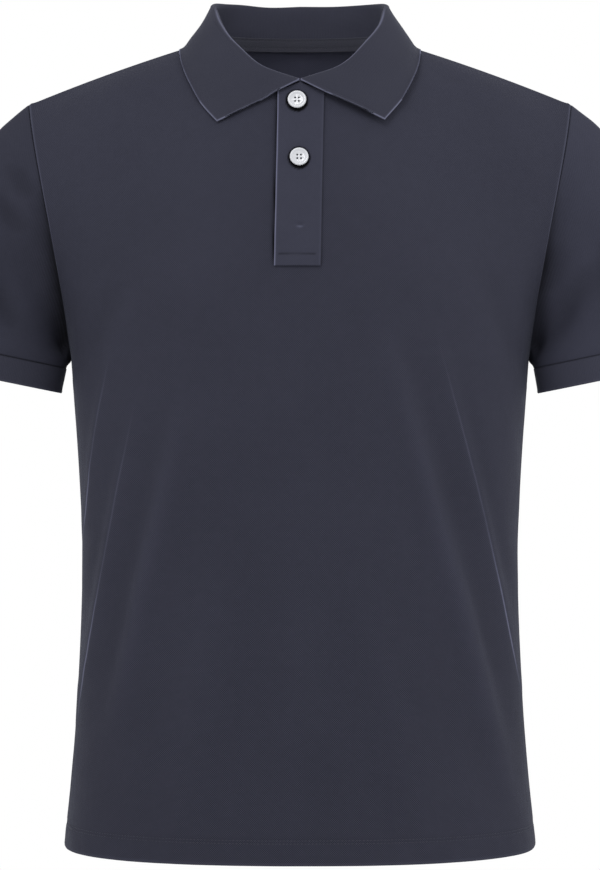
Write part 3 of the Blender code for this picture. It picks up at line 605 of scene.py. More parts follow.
def worked(points, normals, table, seed, highlight_strength):
    """The panel with its creases, seam ridges and stitched hem, its tone with painted light and
    shade, and where painted highlights run along its sharp creases, scaled by the last argument."""
    uv = cloth_uv(points, False)
    side_edge = np.minimum(uv[..., 0] - uv[:, :1, 0], uv[:, -1:, 0] - uv[..., 0])
    below_top = uv[-1:, :, 1] - uv[..., 1]
    above_hem = points[..., 2] - HEM_HEIGHT
    still = smoothstep(0.002, 0.030, side_edge) * smoothstep(0.010, 0.050, below_top)
    lift, beside, crest_highlight = creases(points, table)
    lift = lift * smoothstep(0.0, 0.014, side_edge)
    # Painted highlight on the ridges and painted shade in the troughs, by their height
    ridge_light = RIDGE_PAINTED_LIGHT * lift
    # Where the cloth turns to the side, a line on it keeps its width
    beside = beside / np.sqrt(np.maximum(np.abs(normals[..., 1]), 0.12))
    lift += ripple(points, 0.075, 0.0006, seed) * still
    lift += ripple(points, 0.030, 0.00016, seed + 1) * still
    # The seam's layers make a low welt on the body's side of the armhole
    armhole = smoothstep(CHEST_HEIGHT - 0.004, CHEST_HEIGHT + 0.012, points[..., 2])
    lift += band(side_edge, ARMHOLE_WELT) * armhole + band(side_edge, SIDE_WELT) * (1 - armhole)
    shoulder = np.abs(points[..., 0]) > NECK_HALF_WIDTH
    lift += shoulder * band(below_top, SHOULDER_WELT)
    # Two rows of stitches draw the hem in, and it ropes a little between its edge and the stitches
    for row in HEM_STITCH_HEIGHTS:
        lift += band(above_hem - row, HEM_GROOVE)
    roping = np.sin(uv[..., 0] / 0.0031 + above_hem / 0.006 + 2 * np.sin(uv[..., 0] / 0.023))
    lift += HEM_ROPING * roping * smoothstep(0.0215, 0.014, above_hem) * smoothstep(0.001, 0.006, above_hem)
    # Painted light and shade on ridges and troughs, and painted light growing towards the shoulders
    tone = ridge_light + TOP_PAINTED_LIGHT * (points[..., 2] - TOP_PAINTED_LIGHT_FROM)
    # A painted highlight beside the armhole seam, and a dark line at the side seam
    tone = tone + armhole * band(side_edge, ARMHOLE_HIGHLIGHT) + band(side_edge, SIDE_TONE)
    # A dark line at the shoulder seam, and a painted highlight along the hem's folded edge
    tone += shoulder * band(below_top, SHOULDER_TONE) + band(above_hem, HEM_EDGE_HIGHLIGHT)
    return points + normals * lift[..., None], tone, (beside, crest_highlight * highlight_strength)


def sink_under_placket(points, normals):
    """The front, pressed in along the placket's free edge, with a painted shadow beside it."""
    beside = points[..., 0] - placket_middle(points[..., 2]) + PLACKET_WIDTH / 2
    within = smoothstep(PLACKET_BOTTOM - 0.002, PLACKET_BOTTOM + 0.010, points[..., 2])
    depth = band(beside, BESIDE_PLACKET_GROOVE) * within
    shaded = band(beside, BESIDE_PLACKET_SHADOW) * within
    return points - normals * depth[..., None], shaded


def make_panel(name, front, material):
    smooth = panel_surface(front)
    normals = panel_normals(smooth)
    # The last value is how strong the painted highlights on sharp creases are
    table, seed, highlight_strength = (FRONT_CREASES, 11, 1.0) if front else (BACK_CREASES, 23, 0.5)
    points, tone, crest = worked(smooth, normals, table, seed, highlight_strength)
    plain = points
    if front:
        points, shaded = sink_under_placket(points, normals)
        # The painted shadow beside the placket's free edge
        tone = tone - shaded
    above_hem = smooth[..., 2] - HEM_HEIGHT
    thickness = PIQUE + (HEM_CLOTH - PIQUE) * smoothstep(HEM_DEPTH + 0.0012, HEM_DEPTH, above_hem)
    below_top = cloth_uv(smooth, False)[..., 1]
    below_top = below_top[-1:] - below_top
    # Painted light on the inner face, strongest on the back just below the neck
    reverse = PANEL_REVERSE_PAINTED_LIGHT + (0.0 if front else BACK_REVERSE_PAINTED_LIGHT_AT_NECK) * np.exp(-below_top / 0.020)
    normals = panel_normals(points)
    made = shell(name, points, thickness, False, material, normals, None, tone, reverse, crest)
    return made, plain


# ---------------------------------------------------------------- sleeves


def armhole_loop(side, count):
    """Points round the armhole from the shoulder tip by way of the front, with the body's normal
    and the direction away from the body in its cloth."""
    half = count // 2
    step = np.arange(count)
    front = step < half
    t = np.where(front, 1 - step / half, step / half - 1)
    result = []
    for fore in (True, False):
        places = np.full(count, float(side))
        point = yoke_points(places, t, fore)
        away = unit(point - yoke_points(places * 0.98, t, fore))
        up = yoke_points(places, np.minimum(t + 0.01, 1), fore)
        up = up - yoke_points(places, np.maximum(t - 0.01, 0), fore)
        normal = unit(np.cross(away, up))
        facing = normal @ np.array((0.6 * side, -1 if fore else 1, 0.3))
        normal = np.where((facing < 0)[:, None], -normal, normal)
        result.append((point, normal, away))
    return [np.where(front[:, None], a, b) for a, b in zip(*result)]


def cuff_points(side, turns, down):
    """Points of the cuff, turns in degrees round from its outer side by way of the front."""
    out = np.array((math.cos(SLEEVE_SPREAD), 0, math.sin(SLEEVE_SPREAD)))
    along = np.array((math.sin(SLEEVE_SPREAD), 0, -math.cos(SLEEVE_SPREAD)))
    middle = CUFF_INNER_CORNER + out * CUFF_HALF_WIDTH - along * (CUFF_HEIGHT - down)
    angle = np.radians(turns)[:, None]
    ahead = np.array((0, -CUFF_HALF_DEPTH, 0))
    points = middle + out * (CUFF_HALF_WIDTH * np.cos(angle)) + ahead * np.sin(angle)
    return points * (side, 1, 1), along * (side, 1, 1)


def make_sleeve(name, side, table, material, seed, tone, around=128):
    start, body_normal, away = armhole_loop(side, around)
    turns = 360 * np.arange(around) / around
    leave = through(SLEEVE_STARTS, turns) * (side, 1, 1)
    end, along = cuff_points(side, turns, -SLEEVE_SEAM_GAP)
    under = (1 - np.cos(np.radians(turns)))[:, None] / 2
    reach = SLEEVE_END_TOP + (SLEEVE_END_UNDER - SLEEVE_END_TOP) * under
    start = start + unit(leave) * SLEEVE_SEAM_GAP
    length = 0.19
    share = [d / length for d in EDGE]
    rows = [
        bezier(start, start + leave, end - along * reach, end, t)
        for t in spread(0, 1, 0.0031 / length, share, share)
    ]
    # Its seam allowance turns in behind the cuff
    inward = unit(end.mean(0) - end)
    for depth, down in CUFF_ALLOWANCE:
        rows.append(end + inward * depth + along * down)
    points = np.stack(rows)
    if side > 0:
        order = np.append(0, np.arange(around - 1, 0, -1))
        points, body_normal, away = points[:, order], body_normal[order], away[order]
    points = points[::-1]
    normals = grid_normals(points, True)
    own = normals[-1]
    bad = (np.sum(own * away, 1) > 0) | (np.sum(own * body_normal, 1) < 0.2)
    flat = unit(own - away * np.sum(own * away, 1)[:, None])
    normals[-1] = np.where(bad[:, None], flat, own)
    uv = cloth_uv(points, True)
    seam_row = len(CUFF_ALLOWANCE)
    from_cuff = uv[:, :-1, 1] - uv[seam_row, :-1, 1]
    v = np.maximum(from_cuff, 0)
    near_end = np.minimum(np.abs(from_cuff), v[-1:] - v)
    fore = smoothstep(0.15, 0.6, -normals[..., 1])
    aft = smoothstep(0.15, 0.6, normals[..., 1])
    lift = creases(points, table)[0]
    # Painted highlight on the sleeve's ridges and painted shade in its troughs
    tone = tone + SLEEVE_RIDGE_PAINTED_LIGHT * lift
    still = np.minimum(v, v[-1:] - v)
    lift = lift * (fore + aft * 0.9) * smoothstep(0.002, 0.016, still)
    lift += ripple(points, 0.050, 0.0006, seed) * smoothstep(0.004, 0.024, still)
    # Below the shoulder the sleeve's head tucks in behind the body's edge, deepest near the underarm
    from_seam = v[-1:] - v
    height = points[-1:, :, 2]
    deep = smoothstep(-0.090, -0.180, height) * smoothstep(-0.268, -0.256, height)
    faces = smoothstep(0.02, 0.35, np.abs(normals[-1:, :, 1]))
    reach = TUCK_REACH * (0.7 + 0.6 * smoothstep(-0.13, -0.25, height))
    tucked = from_seam / reach * np.exp(1 - from_seam / reach) * smoothstep(0.002, 0.020, v)
    lift -= TUCK_DEPTH * deep * faces * tucked
    # The cuff's rib draws the sleeve in, so it blouses a little above the seam
    lift += band(v, SLEEVE_BLOUSE) * (from_cuff > 0)
    shade_width = 0.003 + 0.015 * smoothstep(-0.10, -0.26, height)
    shade = smoothstep(-0.085, -0.200, height) * np.exp(-((from_seam / shade_width) ** 2))
    tone = tone + band(near_end, SLEEVE_END_TONE) - ARMHOLE_SHADE * shade - TUCK_SHADE * deep * faces * tucked
    points = points + normals * lift[..., None]
    fresh = grid_normals(points, True)
    fresh[-1] = normals[-1]
    return shell(name, points, PIQUE, True, material, fresh, uv, tone)


def make_cuff(name, side, material, tone, around=168):
    turns = 360 * np.arange(around) / around
    down = spread(0, CUFF_HEIGHT, 0.0013, EDGE, EDGE)[::-1]
    points = np.stack([cuff_points(side, turns, d)[0] for d in down])
    if side > 0:
        points = points[:, np.append(0, np.arange(around - 1, 0, -1))]
    normals = grid_normals(points, True)
    above = (CUFF_HEIGHT - down)[:, None]
    lift = CUFF_FLARE + band(above, CUFF_WELT)
    lift = lift + ripple(points, 0.045, 0.0003, 31 + side)
    # A painted highlight along the cuff's edge, and a dark line at its seam
    tone = tone + band(above, CUFF_EDGE_HIGHLIGHT, CUFF_SEAM_TONE)
    return shell(name, points + normals * lift[..., None], RIB, True, material, tone=tone)


# ---------------------------------------------------------------- placket and buttons


def on_front(tree, x, z):
    hit = tree.ray_cast(Vector((x, -1, z)), Vector((0, 1, 0)))
    return np.array(hit[0]), np.array(hit[1])


def placket_middle(height):
    t = (height - PLACKET_BOTTOM) / (NECK_FRONT_HEIGHT - PLACKET_BOTTOM)
    return PLACKET_BOTTOM_X + (PLACKET_TOP_X - PLACKET_BOTTOM_X) * t


def placket_grid(tree, half_width, bottom, drop, rise=0.0):
    """A strip on the front from bottom up to drop below the neckline, or up past it by rise, and
    each point's x from its middle and height above its foot."""
    across = spread(-half_width, half_width, 0.0011, EDGE[:-1], EDGE[:-1])
    turns = np.degrees(np.arcsin(np.abs(across) / NECK_HALF_WIDTH))
    top = neckline(turns)[:, 2] - drop
    length = 0.143
    near_end = [d / length for d in EDGE[:-1]]
    rises = spread(0, 1, 0.0013 / length, near_end, near_end)
    end = top
    if rise:
        beside_neck = np.abs(across + placket_middle(NECK_FRONT_HEIGHT))
        end = NECK_FRONT_HEIGHT + rise - PLACKET_TOP_SLOPE * beside_neck
    points = np.empty((len(rises), len(across), 3))
    for r, t in enumerate(rises):
        for c, x in enumerate(across):
            z = bottom + (end[c] - bottom) * t
            held = min(z, top[c] - 0.0015)
            points[r, c] = on_front(tree, x + placket_middle(z), held)[0]
            points[r, c] += np.array((0, 0.15, 1)) * (z - held)
    return points, across, points[..., 2] - bottom


def make_placket(tree, material):
    half = PLACKET_WIDTH / 2 - UNDER_PLACKET_INSET
    points, _, _ = placket_grid(tree, half, PLACKET_BOTTOM + UNDER_PLACKET_INSET, 0.0012)
    normals = grid_normals(points, False)
    under = shell("under_placket", points - normals * (PIQUE + 0.0002), PIQUE, False, material)
    half = PLACKET_WIDTH / 2
    points, across, above = placket_grid(tree, half, PLACKET_BOTTOM, 0.0, PLACKET_TOP_RISE)
    normals = grid_normals(points, False)
    # It stands off the front along its free edge and is sewn down along the other and at its foot
    free = smoothstep(0.30, -1.0, across / half)[None, :] * smoothstep(0.004, 0.030, above)
    lift = PLACKET_SEWN_LIFT + (PLACKET_FREE_LIFT - PLACKET_SEWN_LIFT) * free
    lift += PLACKET_CLOTH
    for edge in (-half, half):
        inward = np.abs(across - edge)[None, :]
        lift = lift + band(inward, PLACKET_WELT)
    boxed = smoothstep(half - 0.0034, half - 0.0050, np.abs(across + 0.0006))
    boxed = band(above, BOX_STITCH_BAND) * boxed
    lift -= BOX_STITCH_DEPTH * boxed
    lift += band(above, PLACKET_SWELL)
    lift += ripple(points, 0.024, 0.00022, 41)
    # A painted highlight along the free edge, and a dark seam line along the sewn edge with a painted
    # highlight beside it
    edges = band(across + half, PLACKET_FREE_EDGE_HIGHLIGHT)
    edges = edges + band(half - across, PLACKET_SEWN_TONE, PLACKET_SEAM_HIGHLIGHT)
    tone = PLACKET_TONE + edges[None, :] - BOX_STITCH_TONE * boxed
    # The third button, closed under the placket, draws it in at one place
    x = points[..., 0] - placket_middle(THIRD_BUTTON_HEIGHT) - 0.0012
    z = points[..., 2] - THIRD_BUTTON_HEIGHT
    lift -= 0.0011 * np.exp(-((x / 0.0034) ** 2) - ((z - 0.0016) / 0.0017) ** 2)
    lip = np.exp(-((x / 0.0024) ** 2) - ((z + 0.0004 - x * x / 0.012) / 0.0008) ** 2)
    lift += 0.0005 * lip
    # A painted highlight on the lip below the dimple
    tone = tone + 1.5 * lip
    # and the sewn ones press a shallow seat, with a painted shadow ring round each button
    for x, z in BUTTON_PLACES.values():
        away = np.hypot(points[..., 0] - x, points[..., 2] - z)
        lift -= 0.0006 * smoothstep(BUTTON_RADIUS + 0.0022, BUTTON_RADIUS - 0.0010, away)
        shaded = smoothstep(BUTTON_RADIUS + 0.0020, BUTTON_RADIUS + 0.0010, away)
        tone = tone - (0.93 + PLACKET_TONE) * shaded
    outer = points + normals * lift[..., None]
    upper = shell("upper_placket", outer, PLACKET_CLOTH, False, material, tone=tone)
    return upper, under, points + normals * lift[..., None]


def lathe(name, profile, segments, material):
    """A turned solid about Z through (radius, height) points."""
    mesh = bmesh.new()
    chain = [mesh.verts.new((r, 0, h)) for r, h in profile]
    edges = [mesh.edges.new(pair) for pair in zip(chain, chain[1:])]
    bmesh.ops.spin(
        mesh,
        geom=chain + edges,
        cent=(0, 0, 0),
        axis=(0, 0, 1),
        angle=2 * math.pi,
        steps=segments,
        use_merge=True,
    )
    bmesh.ops.remove_doubles(mesh, verts=mesh.verts, dist=1e-7)
    bmesh.ops.recalc_face_normals(mesh, faces=mesh.faces)
    data = bpy.data.meshes.new(name)
    mesh.to_mesh(data)
    mesh.free()
    return add_piece(name, data, material)


def rounded(corners, radius, steps=5):
    """The profile with its inner corners rounded."""
    result = [corners[0]]
    for before, here, after in zip(corners, corners[1:], corners[2:]):
        before, here, after = (np.array(p, float) for p in (before, here, after))
        reach = min(radius, *(np.linalg.norm(p - here) * 0.45 for p in (before, after)))
        start, end = here + unit(before - here) * reach, here + unit(after - here) * reach
        for t in np.linspace(0, 1, steps):
            result.append(tuple(start * (1 - t) ** 2 + here * 2 * t * (1 - t) + end * t * t))
    return result + [corners[-1]]


def make_button(name, place, tree, plastic, thread):
    """A turned button with a raised rim and four sewn holes."""
    radius, thick = BUTTON_RADIUS, BUTTON_THICKNESS
    corners = [
        (0.0, 0.0),
        (radius * 0.80, 0.0),
        (radius, thick * 0.50),
        (radius * 0.94, thick),
        (radius * 0.78, thick),
        (radius * 0.64, thick * 0.66),
        (0.0, thick * 0.66),
    ]
    made = lathe(name, rounded(corners, 0.0006), 96, plastic)
    reach = BUTTON_HOLE_SPACING / 2
    holes = [(x, y) for x in (-reach, reach) for y in (-reach, reach)]
    for x, y in holes:
        corners = [(0, -thick), (BUTTON_HOLE_RADIUS, -thick), (BUTTON_HOLE_RADIUS, thick * 0.60)]
        corners += [(BUTTON_HOLE_RADIUS * 1.5, thick * 0.72), (0, thick * 0.72)]
        drill = lathe("drill", corners, 24, plastic)
        drill.location = (x, y, 0)
        cut = made.modifiers.new("hole", "BOOLEAN")
        cut.object = drill
        cut.operation = "DIFFERENCE"
        bpy.context.view_layer.update()
        evaluated = made.evaluated_get(bpy.context.evaluated_depsgraph_get())
        cleared = bpy.data.meshes.new_from_object(evaluated)
        made.modifiers.clear()
        made.data = cleared
        bpy.data.objects.remove(drill)
    made.data.shade_smooth()
    made.data.set_sharp_from_angle(angle=math.radians(50))
    strands = [([(x, y, thick * 0.35), (x * 0.5, y * 0.5, -0.0004)], 0.0005) for x, y in holes]
    shank = [(0.0003, 0, -BUTTON_LIFT + 0.0016), (0, 0, 0.0002)]
    strands.append((shank, 0.0011))
    sewn = tubes(f"{name}_thread", strands, thread)
    x, z = place
    around = [(x - radius, z), (x + radius, z), (x, z - radius), (x, z + radius)]
    around = [on_front(tree, *at)[0] for at in around]
    normal = unit(np.cross(around[1] - around[0], around[3] - around[2]))
    base = sum(around) / 4 + normal * BUTTON_LIFT
    turned = Vector(normal).to_track_quat("Z", "Y").to_matrix().to_4x4()
    for piece in (made, sewn):
        piece.data.transform(Matrix.Translation(base) @ turned)
    return made, sewn


def tubes(name, strands, material):
    """Short round threads of (path, radius), with closed ends."""
    chains = []
    for path, radius in strands:
        path = np.array(path, float)
        chain = []
        for p, direction in zip(path, unit(np.gradient(path, axis=0))):
            side = unit(np.cross(direction, (0.31, 0.93, 0.19)))
            chain.append((p, side, np.cross(direction, side), radius))
        chains.append(chain)
    return add_rings(name, chains, material, 8, True)


# ---------------------------------------------------------------- collar and tape


def stand_line(turns):
    """The collar's foot and its fold, at the middle of its cloth, and the way in to the neck."""
    place = through(COLLAR_PLACES, turns)
    seam = neckline(turns)
    inward = unit(seam * (-1, -1, 0))
    foot = seam + inward * (RIB / 2 + COLLAR_SET_IN) + (0, 0, 0.0006)
    crest = seam + inward * (place[:, :1] + RIB / 2 + COLLAR_SET_IN)
    crest[:, 2] = place[:, 1]
    return foot, crest, inward


def collar_rows(turns, trees):
    """The middle of the collar's cloth at -X: rows from its seam up, over the fold and down."""
    place = through(COLLAR_PLACES, turns)
    foot, crest, inward = stand_line(turns)
    down = np.array((0, 0, -COLLAR_ROLL))
    stand_top = crest + inward * (COLLAR_ROLL / 2) + down
    leaf_top = crest - inward * (COLLAR_ROLL * 1.5) + down
    edges = []
    for turn, (edge_x, edge_z) in zip(turns, place[:, 2:4]):
        fore = turn < 90
        start, way = Vector((edge_x, -1 if fore else 1, edge_z)), Vector((0, 1 if fore else -1, 0))
        hit = trees[0 if fore else 1].ray_cast(start, way)[0]
        if hit is None:
            hit = trees[0].find_nearest(Vector((edge_x, 0, edge_z)))[0]
        edges.append(hit)
    edges = np.array(edges)
    # Its edge passes smoothly over the shoulder seam, from the front to the back
    over = smoothstep(40, 62, np.asarray(turns))[:, None]
    edges = eased(edges, over, 0, 40)
    rows = [foot * (1 - t) + stand_top * t for t in spread(0, 1, 0.05, [d / 0.04 for d in EDGE])]
    middle = (stand_top + leaf_top) / 2
    for angle in np.linspace(0, math.pi, FOLD_ROWS + 2)[1:-1]:
        rows.append(middle + (stand_top - middle) * math.cos(angle) - down * math.sin(angle))
    outward = unit(np.array((0, 0, 1)) - inward)
    leaf_steps = spread(0, 1, 0.025, (), [d / 0.055 for d in EDGE])
    for t in leaf_steps:
        curve = 4 * t * (1 - t)
        bulge = (outward * place[:, 4:5] + np.array((0, 0, -1)) * place[:, 5:6]) * curve
        rows.append(leaf_top * (1 - t) + edges * t + bulge)
    return np.stack(rows), len(leaf_steps)


def lift_over(trees, point):
    """How far and which way to move a point of the leaf to clear the front and back."""
    clearance = LEAF_CLEARANCE
    if point.y < 0:
        over = smoothstep(PLACKET_WIDTH / 2 + 0.007, PLACKET_WIDTH / 2 + 0.002, abs(point.x))
        clearance += (LEAF_OVER_PLACKET - LEAF_CLEARANCE) * float(over)
        clearance += LEFT_LEAF_LIFT * float(
            smoothstep(0.0, 0.02, point.x) * smoothstep(-0.02, -0.05, point.y) * (1 - over)
        )
    clearance += LEAF_OVER_SHOULDER * max(1 - abs(point.y) / 0.02, 0)
    hits = [tree.find_nearest(point) for tree in trees]
    nearest = min(hit[3] for hit in hits)
    way, need, total = Vector((0, 0, 0)), 0.0, 0.0
    for near, normal, _, distance in hits:
        if normal.dot(near - Vector((0, 0, near.z - 0.1))) < 0:
            normal = -normal
        weight = math.exp((nearest - distance) / 0.005)
        way += normal * weight
        need += weight * (clearance - (point - near).dot(normal))
        total += weight
    return way.normalized() * max(need / total, 0)


def blurred(field, times):
    """The field, smoothed along rows and columns."""
    for _ in range(times):
        padded = np.pad(field, ((1, 1), (1, 1), (0, 0)), mode="edge")
        beside = padded[2:, 1:-1] + padded[:-2, 1:-1] + padded[1:-1, 2:] + padded[1:-1, :-2]
        field = (beside + 2 * field) / 6
    return field


def make_collar(trees, material):
    turns = np.concatenate(
        [[COLLAR_END_TURN + d / 0.0014 for d in EDGE[1:]], np.linspace(COLLAR_END_TURN, 180, 131)]
    )
    turns = np.unique(np.round(turns, 5))
    half, leaf = collar_rows(turns, trees)
    mirrored = half[:, -2::-1] * (-1, 1, 1)
    points = np.concatenate([half, mirrored], 1)
    moves = np.zeros_like(points)
    leaf_start = len(points) - leaf
    for r in range(leaf_start, len(points)):
        for c in range(points.shape[1]):
            moves[r, c] = lift_over(trees, Vector(points[r, c]))
    points = points + blurred(moves, 10)
    normals = grid_normals(points, False)
    uv = cloth_uv(points, False)
    edge = edge_distance(uv, False)
    from_leaf_edge = uv[-1:, :, 1] - uv[..., 1]
    from_end = np.minimum(uv[..., 0] - uv[:, :1, 0], uv[:, -1:, 0] - uv[..., 0])
    # Its knitted-on edge is a little fuller than the rib
    full = np.minimum(from_leaf_edge, from_end)
    welt = band(full, COLLAR_WELT, COLLAR_GROOVE)
    free = smoothstep(0.0, 0.02, edge)
    wave = ripple(points, 0.040, 0.0005, 53) * free
    # and thinner where it lies flat over the shoulder seam
    flat = np.exp(-((points[..., 1] / 0.020) ** 2) - (from_leaf_edge / 0.008) ** 2)
    thickness = (RIB + 2 * welt) * (1 - EDGE_THINNING * flat)
    points = points + normals * (thickness / 2 + wave - EDGE_SINK * flat)[..., None]
    # The edge has a painted highlight, and so has the crest of the fold
    crest = points[leaf_start - (FOLD_ROWS + 1) // 2]
    turned = np.concatenate([turns, turns[-2::-1]])
    on_fold = band(np.linalg.norm(points - crest, axis=2), COLLAR_FOLD_HIGHLIGHT)
    on_fold = on_fold * smoothstep(*FOLD_HIGHLIGHT_ENDS, turned)
    # Painted light on the inside of the stand
    inside = np.zeros(points.shape[:2])
    inside[: leaf_start - FOLD_ROWS] = COLLAR_INSIDE_PAINTED_LIGHT
    tone = band(full, COLLAR_EDGE_HIGHLIGHT) + on_fold + inside
    return shell("rib_collar", points, thickness, False, material, tone=tone)


def make_tape(material):
    turns = np.linspace(TAPE_END_TURN, 360 - TAPE_END_TURN, TAPE_COLUMNS)
    half = np.minimum(turns, 360 - turns)
    foot, crest, inward = stand_line(half)
    mirror = np.where(turns < 180, 1, -1)[:, None] * np.array((1, 0, 0)) + (0, 1, 1)
    rows = []
    for rise in spread(-TAPE_BELOW, TAPE_ABOVE, 0.0008, EDGE[:-2], EDGE[:-2]):
        point = foot + (crest - foot) * (rise / (crest[:, 2:] - foot[:, 2:]))
        point = point + inward * ((RIB + TAPE) / 2 + SEAM_GAP * 9 + TAPE / 2)
        rows.append(point * mirror)
    points = np.stack(rows)
    normals = grid_normals(points, False)
    if normals[len(rows) // 2, TAPE_COLUMNS // 2, 1] > 0:
        points = points[:, ::-1]
        normals = grid_normals(points, False)
    v = cloth_uv(points, False)[..., 1]
    lift = sum(band(v - at, TAPE_GROOVE) for at in TAPE_STITCHES)
    points = points + normals * lift[..., None]
    return shell("woven_neck_tape", points, TAPE, False, material), points, normals


# ---------------------------------------------------------------- stitches


def stitch_mesh(name, lines, material):
    """Rows of short rounded stitches along lines of (points, normals), joined into one mesh."""
    chains = []
    for points, normals in lines:
        reached = np.append(0, np.cumsum(np.linalg.norm(np.diff(points, axis=0), axis=1)))

        def at(distance, field):
            return np.array([np.interp(distance, reached, field[:, k]) for k in range(3)])

        for middle in np.arange(STITCH_PITCH, reached[-1] - STITCH_PITCH / 2, STITCH_PITCH):
            here, up = at(middle, points), unit(at(middle, normals))
            along = unit(at(middle + 0.0005, points) - here)
            side = unit(np.cross(along, up))
            chain = []
            for place, swell, rise in STITCH_RINGS:
                ring = here + along * (place * STITCH_LENGTH / 2) + up * (rise * STITCH_RADIUS)
                chain.append((ring, side, up, STITCH_RADIUS * swell))
            chains.append(chain)
    return add_rings(name, chains, material, 6, False)


def along_row(points, height):
    """The line across a panel at this height above its hem, with its normals."""
    row = int(np.argmin(np.abs(points[:, points.shape[1] // 2, 2] - HEM_HEIGHT - height)))
    normals = grid_normals(points, False)
    return points[row], normals[row]


# ---------------------------------------------------------------- materials


class Nodes:
    """A material's node tree, built from the pattern outward."""

    def __init__(self, name):
        self.material = bpy.data.materials.new(name)
        self.material.use_nodes = True
        self.tree = self.material.node_tree
        self.shader = self.tree.nodes["Principled BSDF"]

    def math(self, operation, a, b=None, c=None):
        node = self.tree.nodes.new("ShaderNodeMath")
        node.operation = operation
        for socket, value in zip(node.inputs, (a, b, c)):
            if value is None:
                continue
            if isinstance(value, (int, float)):
                socket.default_value = value
            else:
                self.tree.links.new(value, socket)
        return node.outputs[0]

    def uv(self):
        node = self.tree.nodes.new("ShaderNodeUVMap")
        node.uv_map = "cloth"
        parts = self.tree.nodes.new("ShaderNodeSeparateXYZ")
        self.tree.links.new(node.outputs[0], parts.inputs[0])
        return parts.outputs[0], parts.outputs[1]

    def wave(self, value, pitch, shift=0.0):
        """A sine of this pitch in metres, from -1 to 1."""
        scaled = self.math("MULTIPLY_ADD", value, 2 * math.pi / pitch, shift)
        return self.math("SINE", scaled)

    def noise(self, scale, detail):
        """Noise from -1 to 1, with scale in features a metre."""
        source = self.tree.nodes.new("ShaderNodeTexCoord")
        node = self.tree.nodes.new("ShaderNodeTexNoise")
        node.inputs["Scale"].default_value = scale
        node.inputs["Detail"].default_value = detail
        self.tree.links.new(source.outputs["Object"], node.inputs["Vector"])
        return self.math("MULTIPLY_ADD", node.outputs[0], 2.0, -1.0)

    def sum(self, *terms):
        """The terms, each a (socket, weight), added up."""
        total = None
        for socket, weight in terms:
            if total is None:
                total = self.math("MULTIPLY", socket, weight)
            else:
                total = self.math("MULTIPLY_ADD", socket, weight, total)
        return total

    def value(self, label):
        """What the mesh stores under this label."""
        node = self.tree.nodes.new("ShaderNodeAttribute")
        node.attribute_name = label
        return node.outputs["Fac"]

    def colour(self, base, factor):
        """The base colour, scaled by 1 plus factor."""
        scale = self.math("ADD", factor, 1.0)
        node = self.tree.nodes.new("ShaderNodeVectorMath")
        node.operation = "SCALE"
        node.inputs[0].default_value = base
        self.tree.links.new(scale, node.inputs["Scale"])
        self.tree.links.new(node.outputs[0], self.shader.inputs["Base Color"])

    def bump(self, height, distance, strength):
        node = self.tree.nodes.new("ShaderNodeBump")
        node.inputs["Strength"].default_value = strength
        node.inputs["Distance"].default_value = distance
        self.tree.links.new(height, node.inputs["Height"])
        self.tree.links.new(node.outputs[0], self.shader.inputs["Normal"])

    def roughness(self, middle, factor):
        value = self.math("ADD", factor, middle)
        self.tree.links.new(value, self.shader.inputs["Roughness"])


def cloth_shader(nodes, specular, sheen, sheen_roughness):
    nodes.shader.inputs["Specular IOR Level"].default_value = specular
    nodes.shader.inputs["Sheen Weight"].default_value = sheen
    nodes.shader.inputs["Sheen Roughness"].default_value = sheen_roughness
    nodes.shader.inputs["Sheen Tint"].default_value = (0.72, 0.78, 1.0, 1.0)


def pique_material(name, relief):
    """Fine pique knit: staggered cells in diagonal rows with a fibrous surface. relief is how
    strongly the cells show, which depends on how the piece is cut and stretched."""
    nodes = Nodes(name)
    u, v = nodes.uv()
    a, b = nodes.wave(u, KNIT_PITCH), nodes.wave(v, KNIT_PITCH)
    # The knit is stretched flatter over the chest and shoulders
    flatter = nodes.math("MAXIMUM", nodes.math("MULTIPLY_ADD", v, -1.3, 1.15), 0.35)
    flatter = nodes.math("MINIMUM", flatter, 1.0)
    cells = nodes.math("MULTIPLY", nodes.math("MULTIPLY", a, b), flatter)
    cells = nodes.math("MULTIPLY", cells, relief)
    yarn = nodes.wave(u, YARN_PITCH)
    fuzz = nodes.noise(1500, 3.0)
    patches = nodes.noise(11, 3.0)
    uneven = nodes.noise(130, 2.0)
    # A painted highlight along the crests of sharp creases
    away = nodes.math("DIVIDE", nodes.value("beside"), CREST_WIDTH)
    line = nodes.math("EXPONENT", nodes.math("MULTIPLY", nodes.math("MULTIPLY", away, away), -1.0))
    line = nodes.math("MULTIPLY", line, nodes.value("crest_highlight"))
    shade = nodes.sum(
        (cells, 1.0),
        (fuzz, 0.16),
        (uneven, 0.06),
        (patches, 0.10),
        (nodes.value("tone"), 1.0),
        (line, CREST_HIGHLIGHT),
    )
    nodes.colour(NAVY, shade)
    nodes.bump(nodes.sum((cells, 1.7), (yarn, 0.18), (fuzz, 0.35)), 0.00022, 0.55)
    nodes.roughness(0.88, nodes.sum((cells, 0.04), (fuzz, 0.04)))
    cloth_shader(nodes, 0.10, 0.07, 0.22)
    return nodes.material


